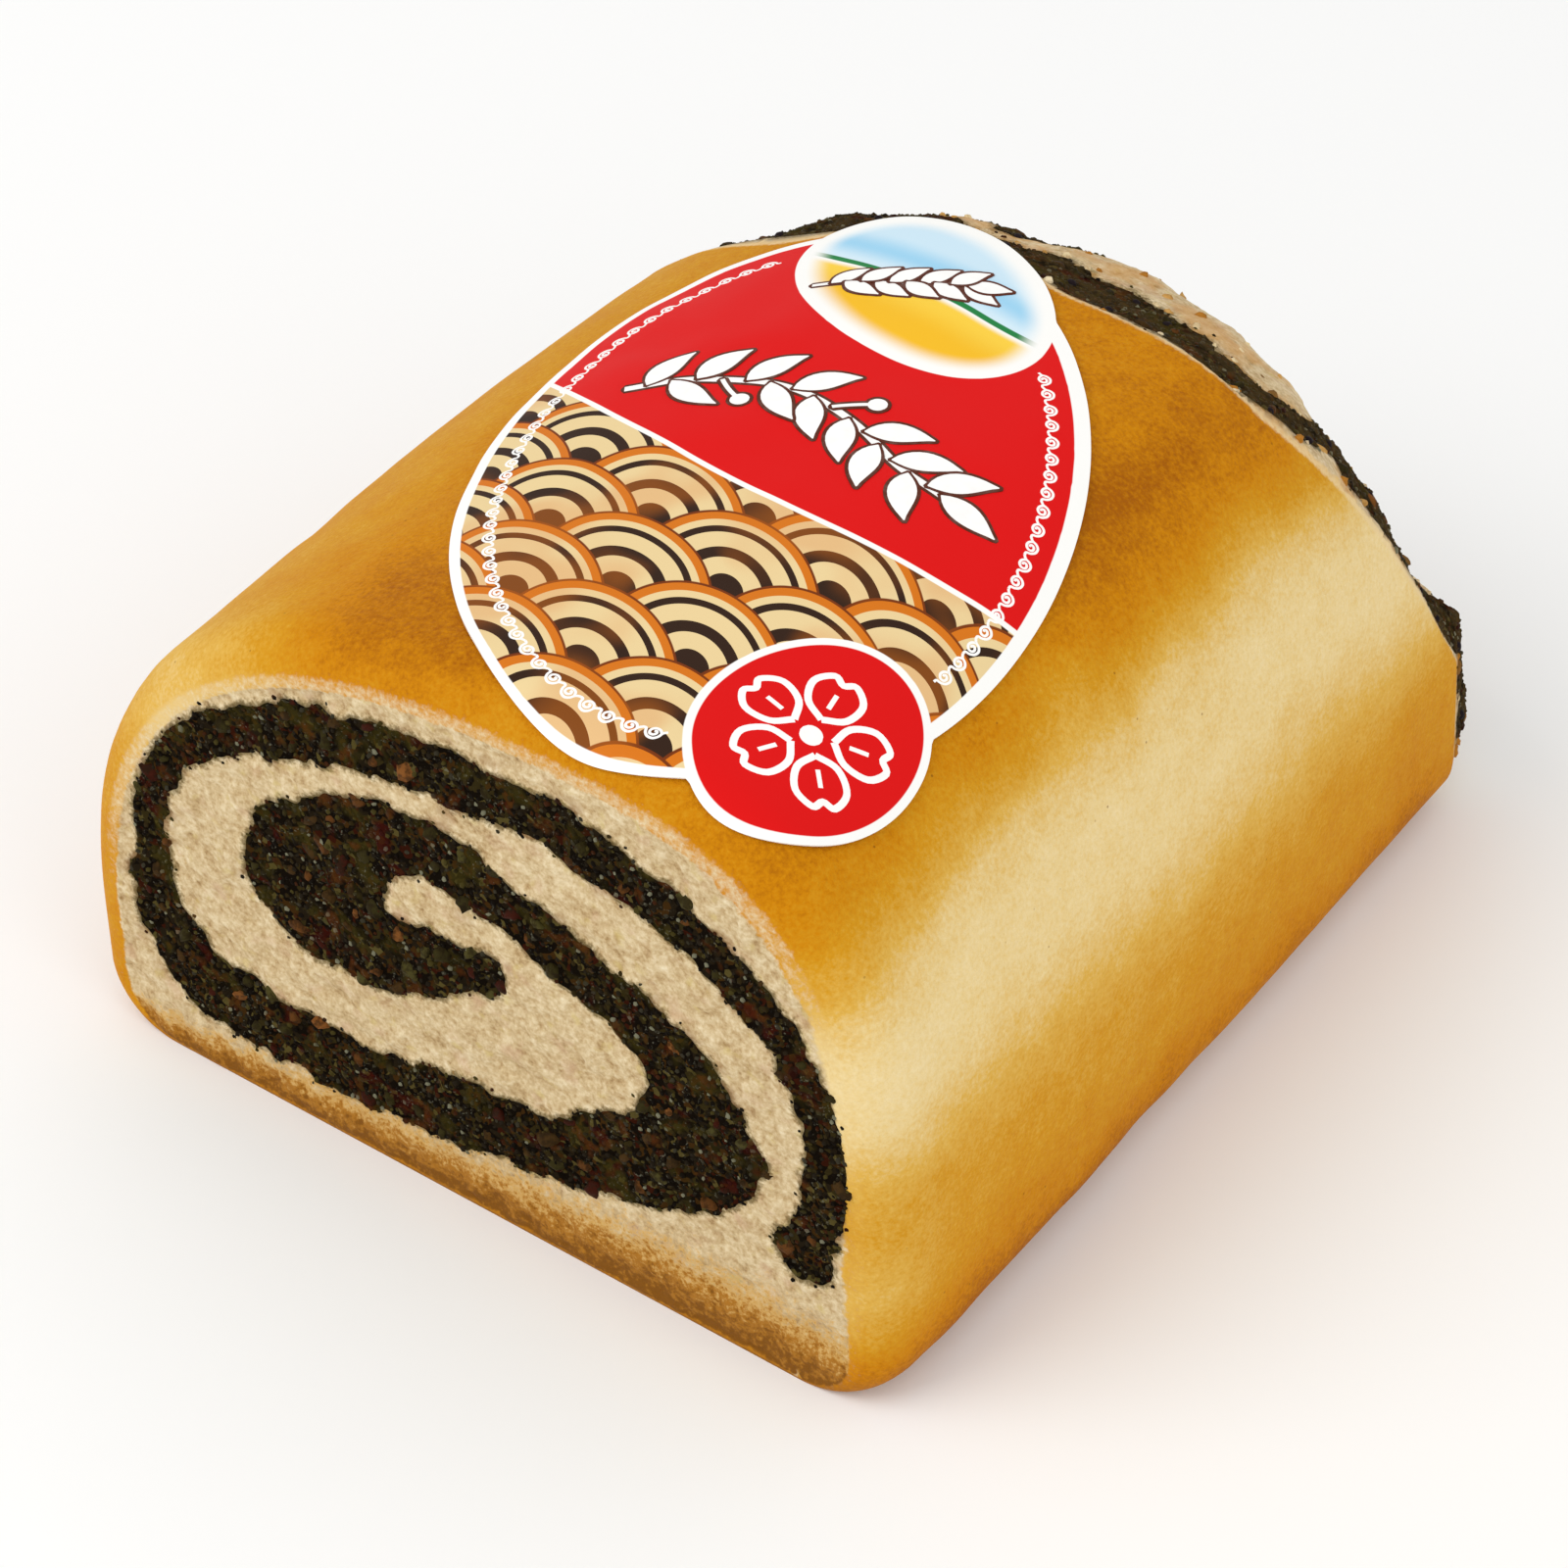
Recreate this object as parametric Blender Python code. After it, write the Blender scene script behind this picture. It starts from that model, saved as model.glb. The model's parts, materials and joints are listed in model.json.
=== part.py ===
"""Poppy seed roll: a cut length of a filled yeast loaf with a die-cut sticker on top.

X runs across the loaf, Y from the front cut to the back end, Z up. The front cut is flat. The back end
leans towards the front as it rises and bulges out past its crust. One layer of poppy seed filling is
rolled up in the dough and shows at both ends.
"""
import math

import bmesh
import bpy
from mathutils import Vector, noise

MM = 0.001

# Driving dimensions, in mm
WIDTH = 107.6
HEIGHT = 74.0
BASE_LENGTH = 114.5
FIT_GAP = 0.3

# The section across the middle of the loaf: two unlike quarters that meet at the crest
CREST_X = 12.6
RIGHT_REACH = WIDTH / 2 - CREST_X
LEFT_REACH = WIDTH / 2 + CREST_X
RIGHT_POWER = 2.9
LEFT_POWER = 2.34
RIGHT_SPRING = 19.5
LEFT_SPRING = 14.5
FOOT_RADIUS = 7.4

# The crust rolls over towards the front cut, and the back half gets lower
FRONT_ROLL = 4.65
FRONT_ROLL_LENGTH = 6.5
FRONT_INSET = FRONT_ROLL + 0.35
SWELL_LENGTH = 23.0
LEVEL_LENGTH = 46.0
BACK_DROP = 3.2
BACK_DROP_LENGTH = 52.0

# The back rim leans from LEAN_FROM up to LEAN_TO and is skewed towards the front on the left. It has a
# short tongue of crust at its top
LEAN_FROM = 22.0
LEAN_TO = 68.0
LEAN_SLOPE = 0.54
SKEW_FROM = -10.0
SKEW_SLOPE = 0.34
SKEW_MOST = 10.0
TONGUE = 5.5
TONGUE_X = -4.5
TONGUE_HALF_WIDTH = 19.0

# How far the back end bulges past its rim, by how far along the crust from the right foot:
# (along the crust, height of the bulge, run from the rim to that height)
BULGES = [
    (0, 7.5, 8.0), (9, 9.0, 4.5), (23, 9.0, 4.5), (36, 5.5, 9.0), (64, 6.0, 9.0), (78, 11.5, 11.5),
    (91, 18.5, 14.0), (107, 21.0, 14.0), (116, 12.5, 11.0), (124, 11.5, 6.5), (136, 14.5, 6.5), (149, 3.5, 11.0),
]
BULGE_MIDDLE = 12.5
BULGE_MIDDLE_RUN = 26.0
BULGE_SPINE = (Vector((-27.0, 30.0)), Vector((19.0, 30.0)))
BULGE_RINGS = [0.03, 0.08, 0.14, 0.21, 0.29, 0.38, 0.5, 0.64, 0.8, 0.93]
CRUMB_LUMP = 0.7
FILLING_LUMP = 1.3
FILLING_PROUD = 0.8
LUMP_WAVE = 5.5

# The middle line of the filling on the front cut, from its outer end inwards: (x, z, thickness)
SWIRL = [
    # up the right side
    (41.8, 19.5, 5.2), (44.2, 27.0, 5.2), (44.2, 35.0, 4.8), (42.6, 42.5, 4.9), (39.4, 49.0, 5.6),
    # over the top
    (33.4, 53.4, 6.0), (27.2, 57.3, 6.2), (19.3, 59.8, 6.6), (9.3, 61.8, 6.5), (-1.2, 61.0, 6.8),
    (-14.2, 59.0, 7.0), (-23.7, 55.4, 6.6), (-31.7, 50.8, 5.2),
    # down the left side
    (-38.0, 44.4, 4.1), (-41.6, 36.0, 4.3), (-42.2, 27.0, 5.4), (-41.0, 18.6, 8.0),
    # along the bottom
    (-37.4, 13.8, 10.6), (-30.7, 11.8, 10.2), (-21.2, 11.2, 9.4), (-12.2, 11.2, 9.0), (-4.7, 12.7, 9.9),
    (3.3, 14.2, 9.8), (10.3, 15.0, 8.7), (17.3, 18.2, 10.6), (24.0, 22.2, 12.6),
    # round the right end and back along the second turn
    (29.4, 29.0, 14.6), (30.0, 33.2, 12.2), (26.4, 37.3, 9.4), (20.3, 41.0, 8.6), (13.8, 43.9, 7.4),
    (7.3, 47.0, 7.2), (0.8, 48.9, 7.6), (-6.2, 49.3, 8.6),
    # down into the thick eye
    (-13.7, 45.5, 10.8), (-19.5, 39.5, 15.4), (-19.8, 33.0, 16.4), (-14.0, 30.9, 13.8),
    (-7.6, 32.1, 11.4), (-2.4, 33.8, 7.6), (0.4, 35.6, 3.2),
]
SWIRL_STEPS = 2
SWIRL_STATIONS = [0.0, 6.0, 14.0, 23.0, 46.0, 75.0, 90.0, 101.0, 112.0, 124.0]
SPREAD_LENGTH = 14.0
SPREAD_UP = 2.8
SPREAD_LEFT = 1.0
SPREAD_RIGHT = 0.9

# The sticker, laid out on the crust: across from the crest, along from the front cut, two half axes and a turn
STICKER_SHAPES = [
    (-6.2, 45.8, 32.0, 47.0, 23.6),
    (-11.8, 81.0, 18.9, 12.4, -27.0),
    (19.7, 15.9, 11.2, 13.7, -7.5),
]
STICKER_THICKNESS = 0.3
STICKER_SIDES = 60
STICKER_FLAT_ANGLE = 1.0
STICKER_CREASES_ACROSS = [5.5 * step for step in range(-9, 7)]
STICKER_CREASES_ALONG = [2.4, 3.6, 5.0, 7.0, 24.0, 46.0, 62.0, 78.0, 90.0]

CURVE_STEPS = 22
FOOT_STEPS = 4
FRONT_STATIONS = [0.0, 0.3, 0.9, 1.8, 3.1, 4.7, FRONT_ROLL_LENGTH]
BODY_SHARES = [0.14, 0.28, 0.42, 0.56, 0.7, 0.84, 1.0]


def smooth(value):
    value = min(max(value, 0.0), 1.0)
    return value * value * (3 - 2 * value)


def interpolate(rows, at):
    """The values of a table at a place between its rows."""
    if at <= rows[0][0]:
        return rows[0][1:]
    for low, high in zip(rows, rows[1:]):
        if at <= high[0]:
            share = smooth((at - low[0]) / (high[0] - low[0]))
            return tuple(a + (b - a) * share for a, b in zip(low[1:], high[1:]))
    return rows[-1][1:]


def crust_inset(y):
    """How far the crust lies inside the middle section near the front cut."""
    ahead = max(1 - y / FRONT_ROLL_LENGTH, 0.0)
    settle = (FRONT_INSET - FRONT_ROLL) * max(1 - y / LEVEL_LENGTH, 0.0)
    return settle + FRONT_ROLL * (1 - math.sqrt(1 - ahead * ahead))


def lowered(x, z, y):
    """A point moved with the back half of the loaf, whose top gets lower and narrower."""
    drop = BACK_DROP * (max(y - LEVEL_LENGTH, 0.0) / BACK_DROP_LENGTH) ** 2 * z / HEIGHT
    reach = RIGHT_REACH if x > CREST_X else LEFT_REACH
    return CREST_X + (x - CREST_X) * (1 - drop / reach), z * (1 - drop / HEIGHT)


def section():
    """The crust's outline from the right foot over the crest to the left foot, as (x, z)."""
    foot = [math.radians(90 * step / FOOT_STEPS) for step in range(FOOT_STEPS)]
    rise = [math.radians(90 * step / CURVE_STEPS) for step in range(CURVE_STEPS + 1)]
    points = [
        (CREST_X + RIGHT_REACH - FOOT_RADIUS * (1 - math.sin(a)), FOOT_RADIUS * (1 - math.cos(a)))
        for a in foot
    ]
    points += [
        (CREST_X + RIGHT_REACH * math.cos(a) ** (2 / RIGHT_POWER),
         RIGHT_SPRING + (HEIGHT - RIGHT_SPRING) * math.sin(a) ** (2 / RIGHT_POWER))
        for a in rise[:-1]
    ]
    points += [
        (CREST_X - LEFT_REACH * abs(math.cos(a)) ** (2 / LEFT_POWER),
         LEFT_SPRING + (HEIGHT - LEFT_SPRING) * math.sin(a) ** (2 / LEFT_POWER))
        for a in reversed(rise)
    ]
    points += [
        (CREST_X - LEFT_REACH + FOOT_RADIUS * (1 - math.sin(a)), FOOT_RADIUS * (1 - math.cos(a)))
        for a in reversed(foot)
    ]
    return points


def rim_y(x, z):
    """How far back the rim leans to at a place on the section, and how far a tongue of crust passes it."""
    leaning = BASE_LENGTH - LEAN_SLOPE * (min(max(z, LEAN_FROM), LEAN_TO) - LEAN_FROM)
    leaning -= min(max(SKEW_FROM - x, 0.0) * SKEW_SLOPE, SKEW_MOST)
    aside = min(abs(x - TONGUE_X) / TONGUE_HALF_WIDTH, 1.0)
    tongue = TONGUE * (0.5 + 0.5 * math.cos(math.pi * aside)) * smooth((z - 50) / 15)
    return leaning, tongue


def lumps(x, y, z, size):
    """Uneven torn crumb, the same each time."""
    place = Vector((x, y, z)) / LUMP_WAVE
    return size * (noise.noise(place) + 0.5 * noise.noise(place * 2.1 + Vector((7, 3, 5))))


def crust_point(x, z, y):
    """Where a point of the middle section lies at a place along the loaf."""
    inset = crust_inset(y)
    reach = RIGHT_REACH if x > CREST_X else LEFT_REACH
    x, z = lowered(CREST_X + (x - CREST_X) * (1 - inset / reach), z * (1 - inset / HEIGHT), y)
    return Vector((x, y, z))


def body_rings():
    """The loaf's rings from the front cut to the back rim."""
    rings = [[crust_point(x, z, y) for x, z in section()] for y in FRONT_STATIONS]
    for share in BODY_SHARES:
        rings.append([
            crust_point(x, z, FRONT_ROLL_LENGTH + (sum(rim_y(x, z)) - FRONT_ROLL_LENGTH) * share)
            for x, z in section()
        ])
    return rings


def bulge_rings(rim, proud, lump):
    """The rings of the back end, from the crust's rim in to the middle of the bulge."""
    along = [0.0]
    for (x0, _, z0), (x1, _, z1) in zip(rim, rim[1:]):
        along.append(along[-1] + math.hypot(x1 - x0, z1 - z0))
    low, high = BULGE_SPINE
    rings = []
    for share in BULGE_RINGS:
        ring = []
        for (x, _, z), length in zip(rim, along):
            edge = Vector((x, z))
            centre = Vector((min(max(x, low.x), high.x), low.y))
            point = edge.lerp(centre, share)
            depth = (edge - point).length
            leaning, tongue = rim_y(point.x, point.y)
            height, run = interpolate(BULGES, length)
            part = min(depth / run, 1.0)
            rise = part * (1 + part - part * part)
            bulge = height * rise + (BULGE_MIDDLE - height) * smooth(depth / BULGE_MIDDLE_RUN)
            y = leaning + tongue * math.exp(-depth / 4) + bulge + proud * smooth(depth / 3)
            y += lumps(point.x, y, point.y, lump) * smooth(depth / 4)
            ring.append((point.x, y, point.y))
        rings.append(ring)
    return rings


def loft(name, rings, material):
    """A closed solid through rings of points, flat or filled at both ends."""
    mesh = bpy.data.meshes.new(name)
    shape = bmesh.new()
    rows = [[shape.verts.new(Vector(p) * MM) for p in ring] for ring in rings]
    for near, far in zip(rows, rows[1:]):
        for i in range(len(near)):
            j = (i + 1) % len(near)
            shape.faces.new((near[i], near[j], far[j], far[i]))
    shape.faces.new(rows[0])
    shape.faces.new(rows[-1])
    bmesh.ops.triangulate(shape, faces=shape.faces[:])
    bmesh.ops.recalc_face_normals(shape, faces=shape.faces[:])
    shape.to_mesh(mesh)
    shape.free()
    made = bpy.data.objects.new(name, mesh)
    if material:
        mesh.materials.append(material)
    return made


def swirl_path():
    """Points and half thicknesses along the filling's middle line, on a smooth curve."""
    rows = [Vector(row) for row in SWIRL]
    rows = [rows[0] * 2 - rows[1]] + rows + [rows[-1] * 2 - rows[-2]]
    path = []
    for a, b, c, d in zip(rows, rows[1:], rows[2:], rows[3:]):
        for step in range(SWIRL_STEPS):
            t = step / SWIRL_STEPS
            path.append(
                (2 * b + (c - a) * t + (2 * a - 5 * b + 4 * c - d) * t * t + (3 * b - a - 3 * c + d) * t ** 3) / 2
            )
    path.append(rows[-2])
    return [(Vector((p.x, p.y)), p.z / 2) for p in path]


def swirl_outline(extra=0.0):
    """The outline round the filling: a disc slid along its middle line."""
    path = [(centre, radius + extra) for centre, radius in swirl_path()]
    inner, outer = [], []
    for i, (centre, radius) in enumerate(path):
        ahead = path[min(i + 1, len(path) - 1)][0] - path[max(i - 1, 0)][0]
        side = Vector((-ahead.y, ahead.x)).normalized() * radius
        outer.append(centre - side)
        inner.append(centre + side)
    start, first = path[0]
    end, last = path[-1]
    away = (start - path[1][0]).normalized()
    front_cap = [start + turned(away, -60) * first, start + away * first, start + turned(away, 60) * first]
    away = (end - path[-2][0]).normalized()
    end_cap = [end + turned(away, -60) * last, end + away * last, end + turned(away, 60) * last]
    outline = front_cap[::-1] + inner + end_cap[::-1] + outer[::-1]
    return [p for p in outline if all((p - c).length > r * 0.985 for c, r in path)]


def turned(direction, degrees):
    angle = math.radians(degrees)
    return Vector((direction.x * math.cos(angle) - direction.y * math.sin(angle),
                   direction.x * math.sin(angle) + direction.y * math.cos(angle)))


def swirl_rings(extra=0.0):
    """The swirl's rings: it swells with the loaf behind the cut and spreads towards the back rim."""
    outline = swirl_outline(extra)
    rings = [[(p.x, -2.0, p.y) for p in outline]]
    for y in SWIRL_STATIONS:
        ring = []
        inset = FRONT_INSET * (1 - smooth(y / SWELL_LENGTH))
        for p in outline:
            spread = smooth(1 - (rim_y(p.x, p.y)[0] - y) / SPREAD_LENGTH)
            right = p.x > CREST_X
            reach = RIGHT_REACH if right else LEFT_REACH
            sideways = reach - inset + (SPREAD_RIGHT if right else SPREAD_LEFT) * spread
            upward = HEIGHT - inset + SPREAD_UP * spread
            x = CREST_X + (p.x - CREST_X) * sideways / (reach - FRONT_INSET)
            z = p.y * upward / (HEIGHT - FRONT_INSET)
            x, z = lowered(x, z, y)
            ring.append((x, y, z))
        rings.append(ring)
    rings.append([(x, BASE_LENGTH + 30, z) for x, _, z in rings[-1]])
    return rings


def crust_at(across, along):
    """The place on the crust at a length across from the crest, to the right, and a length along."""
    points = [Vector(point) for point in section()]
    crest = max(range(len(points)), key=lambda i: points[i].y)
    step, left = (-1, across) if across > 0 else (1, -across)
    here = crest
    while left > (points[here + step] - points[here]).length:
        left -= (points[here + step] - points[here]).length
        here += step
    spot = points[here] + (points[here + step] - points[here]).normalized() * left
    return crust_point(spot.x, spot.y, along)


def sticker_oval(name, shape):
    """One of the sticker's ovals, still flat: across, along, thickness."""
    across, along, half_a, half_b, turn = shape
    outline = []
    for k in range(STICKER_SIDES):
        angle = math.tau * k / STICKER_SIDES
        spot = turned(Vector((half_a * math.cos(angle), half_b * math.sin(angle))), turn)
        outline.append((across + spot.x, along + spot.y))
    return loft(name, [[(x, y, z) for x, y in outline] for z in (0, STICKER_THICKNESS)], None)


def lay_on_crust(sticker):
    """The flat sticker, creased finely enough to bend and laid just off the crust."""
    shape = bmesh.new()
    shape.from_mesh(sticker.data)
    bmesh.ops.dissolve_limit(shape, angle_limit=math.radians(STICKER_FLAT_ANGLE),
                             verts=shape.verts[:], edges=shape.edges[:])
    creases =[(Vector((1, 0, 0)), across) for across in STICKER_CREASES_ACROSS]
    creases += [(Vector((0, 1, 0)), along) for along in STICKER_CREASES_ALONG]
    for normal, place in creases:
        bmesh.ops.bisect_plane(shape, geom=shape.verts[:] + shape.edges[:] + shape.faces[:],
                               plane_co=normal * place * MM, plane_no=normal, dist=1e-7)
    bmesh.ops.triangulate(shape, faces=shape.faces[:])
    for vertex in shape.verts:
        across, along, lift = vertex.co / MM
        spot = crust_at(across, along)
        sideways = crust_at(across + 0.5, along) - crust_at(across - 0.5, along)
        forward = crust_at(across, along + 0.5) - crust_at(across, along - 0.5)
        vertex.co = (spot + sideways.cross(forward).normalized() * (FIT_GAP + lift)) * MM
    bmesh.ops.recalc_face_normals(shape, faces=shape.faces[:])
    shape.to_mesh(sticker.data)
    shape.free()


def material(name, colour, roughness):
    made = bpy.data.materials.new(name)
    made.use_nodes = True
    shader = made.node_tree.nodes["Principled BSDF"]
    shader.inputs["Base Color"].default_value = (*colour, 1.0)
    shader.inputs["Roughness"].default_value = roughness
    shader.inputs["Metallic"].default_value = 0.0
    return made


def cut(target, tool, operation):
    """One Boolean, applied."""
    modifier = target.modifiers.new(operation.lower(), "BOOLEAN")
    modifier.operation = operation
    modifier.object = tool
    modifier.solver = "EXACT"
    bpy.context.view_layer.update()
    evaluated = target.evaluated_get(bpy.context.evaluated_depsgraph_get())
    result = bpy.data.meshes.new_from_object(evaluated)
    target.modifiers.clear()
    target.data = result


def into(collection, *made):
    for item in made:
        collection.objects.link(item)


def build():
    for old in list(bpy.data.objects):
        bpy.data.objects.remove(old, do_unlink=True)
    pieces = bpy.data.collections.new("poppy_seed_roll")
    cutters = bpy.data.collections.new("cutters")
    for collection in (pieces, cutters):
        bpy.context.scene.collection.children.link(collection)

    body = body_rings()
    dough = loft("dough", body + bulge_rings(body[-1], 0.0, CRUMB_LUMP),
                 material("baked_dough", (0.60, 0.30, 0.06), 0.55))
    filling = loft("filling", body + bulge_rings(body[-1], FILLING_PROUD, FILLING_LUMP),
                   material("poppy_filling", (0.035, 0.03, 0.02), 0.6))
    channel = loft("channel", swirl_rings(FIT_GAP), None)
    layer = loft("layer", swirl_rings(), None)
    sticker = sticker_oval("sticker", STICKER_SHAPES[0])
    sticker.data.materials.append(material("sticker_paper", (0.75, 0.02, 0.02), 0.45))
    lobes = [sticker_oval(f"lobe_{k}", shape) for k, shape in enumerate(STICKER_SHAPES[1:])]
    into(pieces, dough, filling, sticker)
    into(cutters, channel, layer, *lobes)

    cut(dough, channel, "DIFFERENCE")
    cut(filling, layer, "INTERSECT")
    for lobe in lobes:
        cut(sticker, lobe, "UNION")
    lay_on_crust(sticker)

    for tool in (channel, layer, *lobes):
        bpy.data.objects.remove(tool, do_unlink=True)

    corners = [v.co for v in dough.data.vertices] + [v.co for v in filling.data.vertices]
    middle = Vector([(min(c[k] for c in corners) + max(c[k] for c in corners)) / 2 for k in (0, 1)] + [0])
    for piece in (dough, filling, sticker):
        for vertex in piece.data.vertices:
            vertex.co -= middle
        piece.data.shade_smooth()
        piece.data.set_sharp_from_angle(angle=math.radians(35))


build()
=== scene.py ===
import itertools
import json
import math

import bmesh
import bpy
import numpy as np
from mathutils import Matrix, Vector, geometry, kdtree

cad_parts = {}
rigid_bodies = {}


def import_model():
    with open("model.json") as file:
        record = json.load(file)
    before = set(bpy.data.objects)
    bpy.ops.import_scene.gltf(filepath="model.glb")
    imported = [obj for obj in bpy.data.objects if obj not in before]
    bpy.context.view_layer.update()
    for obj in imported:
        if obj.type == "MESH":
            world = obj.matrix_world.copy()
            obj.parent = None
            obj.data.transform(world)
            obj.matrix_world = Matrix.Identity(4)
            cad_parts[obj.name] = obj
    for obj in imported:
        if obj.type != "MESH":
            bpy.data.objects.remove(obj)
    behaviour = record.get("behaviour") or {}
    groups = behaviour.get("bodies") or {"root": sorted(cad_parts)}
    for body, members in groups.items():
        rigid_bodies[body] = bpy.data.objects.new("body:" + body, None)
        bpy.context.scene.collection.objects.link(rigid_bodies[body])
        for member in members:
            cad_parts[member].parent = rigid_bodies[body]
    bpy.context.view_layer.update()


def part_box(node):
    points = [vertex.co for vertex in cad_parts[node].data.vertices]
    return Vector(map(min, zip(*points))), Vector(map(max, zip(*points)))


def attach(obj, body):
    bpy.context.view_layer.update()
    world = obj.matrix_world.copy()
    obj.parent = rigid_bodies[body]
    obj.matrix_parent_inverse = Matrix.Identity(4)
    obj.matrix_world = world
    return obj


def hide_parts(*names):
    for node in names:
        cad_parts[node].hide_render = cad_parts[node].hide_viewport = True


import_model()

mm = 0.001
rng = np.random.default_rng(11)

# Lengths are in mm, and y runs back from the front cut until a mesh is made
loaf = {
    "height": 74.0,
    "crestX": 12.6,
    "rightReach": 41.2,
    "leftReach": 66.4,
    "rightPower": 2.9,
    "leftPower": 2.34,
    "rightSpring": 19.5,
    "leftSpring": 14.5,
    "footRadius": 7.4,
    "frontRoll": 4.65,         # how far the crust rolls in towards the front cut
    "rollLength": 6.5,
    "frontInset": 5.0,
    "levelLength": 46.0,
    "backDrop": 3.2,
    "backDropLength": 52.0,
    "baseLength": 114.5,
    "leanFrom": 22.0,
    "leanTo": 68.0,
    "leanSlope": 0.54,
    "skewFrom": -10.0,
    "skewSlope": 0.34,
    "skewMost": 10.0,
    "tongue": 5.5,
    "tongueX": -4.5,
    "tongueHalfWidth": 19.0,
    "crustStep": 0.8,
    "baseStep": 1.6,
    "frontStep": 0.4,
    "backStep": 0.55,
    "rollStations": [0.0, 0.12, 0.3, 0.6, 1.0, 1.5, 2.1, 2.8, 3.6, 4.5, 5.5, 6.5],
    "waviness": 0.28,
}
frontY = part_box("dough")[0].y / mm


def smooth(value):
    value = np.clip(value, 0.0, 1.0)
    return value * value * (3 - 2 * value)


def lattice(cells, seed):
    # a fixed random number from -1 to 1 for each whole-numbered cell
    key = (cells * np.array([73856093, 19349663, 83492791])).sum(axis=-1) + seed * 668265263
    key = (key ^ (key >> 13)) * 1274126177
    key = (key ^ (key >> 16)) * 974634777
    return ((key >> 8) & 0xFFFF) / 32767.5 - 1


def waves(points, size, seed):
    # a smooth field from -1 to 1 that changes over about that many mm
    place = points / size
    cell = np.floor(place).astype(np.int64)
    share = place - cell
    share = share ** 3 * (share * (share * 6 - 15) + 10)
    total = np.zeros(len(points))
    for corner in itertools.product((0, 1), repeat=3):
        weight = np.prod(np.where(corner, share, 1 - share), axis=1)
        total += weight * lattice(cell + np.array(corner), seed)
    return total


def grains(points, size, seed):
    # the distance to the nearest of many scattered grains, and a random number of that grain
    place = points / size
    cell = np.floor(place).astype(np.int64)
    best = np.full(len(points), 9.0)
    tag = np.zeros(len(points))
    for corner in itertools.product((-1, 0, 1), repeat=3):
        near = cell + np.array(corner)
        shift = np.stack([lattice(near, seed + k) for k in range(3)], axis=1)
        gap = np.linalg.norm(place - near - 0.5 - 0.42 * shift, axis=1)
        closer = gap < best
        best[closer] = gap[closer]
        tag[closer] = lattice(near, seed + 3)[closer]
    return best * size, tag


def resampled(points, step, closed=False):
    # the same line with even steps
    if closed:
        points = np.concatenate([points, points[:1]])
    lengths = np.r_[0, np.cumsum(np.linalg.norm(np.diff(points, axis=0), axis=1))]
    count = max(int(round(lengths[-1] / step)), 2)
    at = np.linspace(0, lengths[-1], count + 1)
    if closed:
        at = at[:-1]
    return np.stack([np.interp(at, lengths, points[:, k]) for k in range(points.shape[1])], axis=1)


def tableAt(rows, at):
    # a table's columns at places between its rows, eased from row to row
    rows = np.array(rows, float)
    low = np.clip(np.searchsorted(rows[:, 0], at, side="right") - 1, 0, len(rows) - 2)
    share = smooth((at - rows[low, 0]) / (rows[low + 1, 0] - rows[low, 0]))
    return [rows[low, k] + (rows[low + 1, k] - rows[low, k]) * share for k in range(1, rows.shape[1])]


def curveThrough(rows, steps):
    # a smooth line through rows of numbers, with that many steps from row to row
    rows = np.array(rows, float)
    rows = np.concatenate([rows[:1] * 2 - rows[1:2], rows, rows[-1:] * 2 - rows[-2:-1]])
    t = np.arange(steps)[:, None] / steps
    path = []
    for a, b, c, d in zip(rows, rows[1:], rows[2:], rows[3:]):
        path.append((2 * b + (c - a) * t + (2 * a - 5 * b + 4 * c - d) * t * t + (3 * b - a - 3 * c + d) * t ** 3) / 2)
    return np.concatenate(path + [rows[-2:-1]])


def planeNormals(points, closed=True):
    # the side of a line in its plane: to the right of its run
    ahead = np.roll(points, -1, axis=0) - np.roll(points, 1, axis=0)
    if not closed:
        ahead[0] = points[1] - points[0]
        ahead[-1] = points[-1] - points[-2]
    ahead /= np.linalg.norm(ahead, axis=1, keepdims=True) + 1e-9
    return np.stack([ahead[:, 1], -ahead[:, 0]], axis=1)


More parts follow.
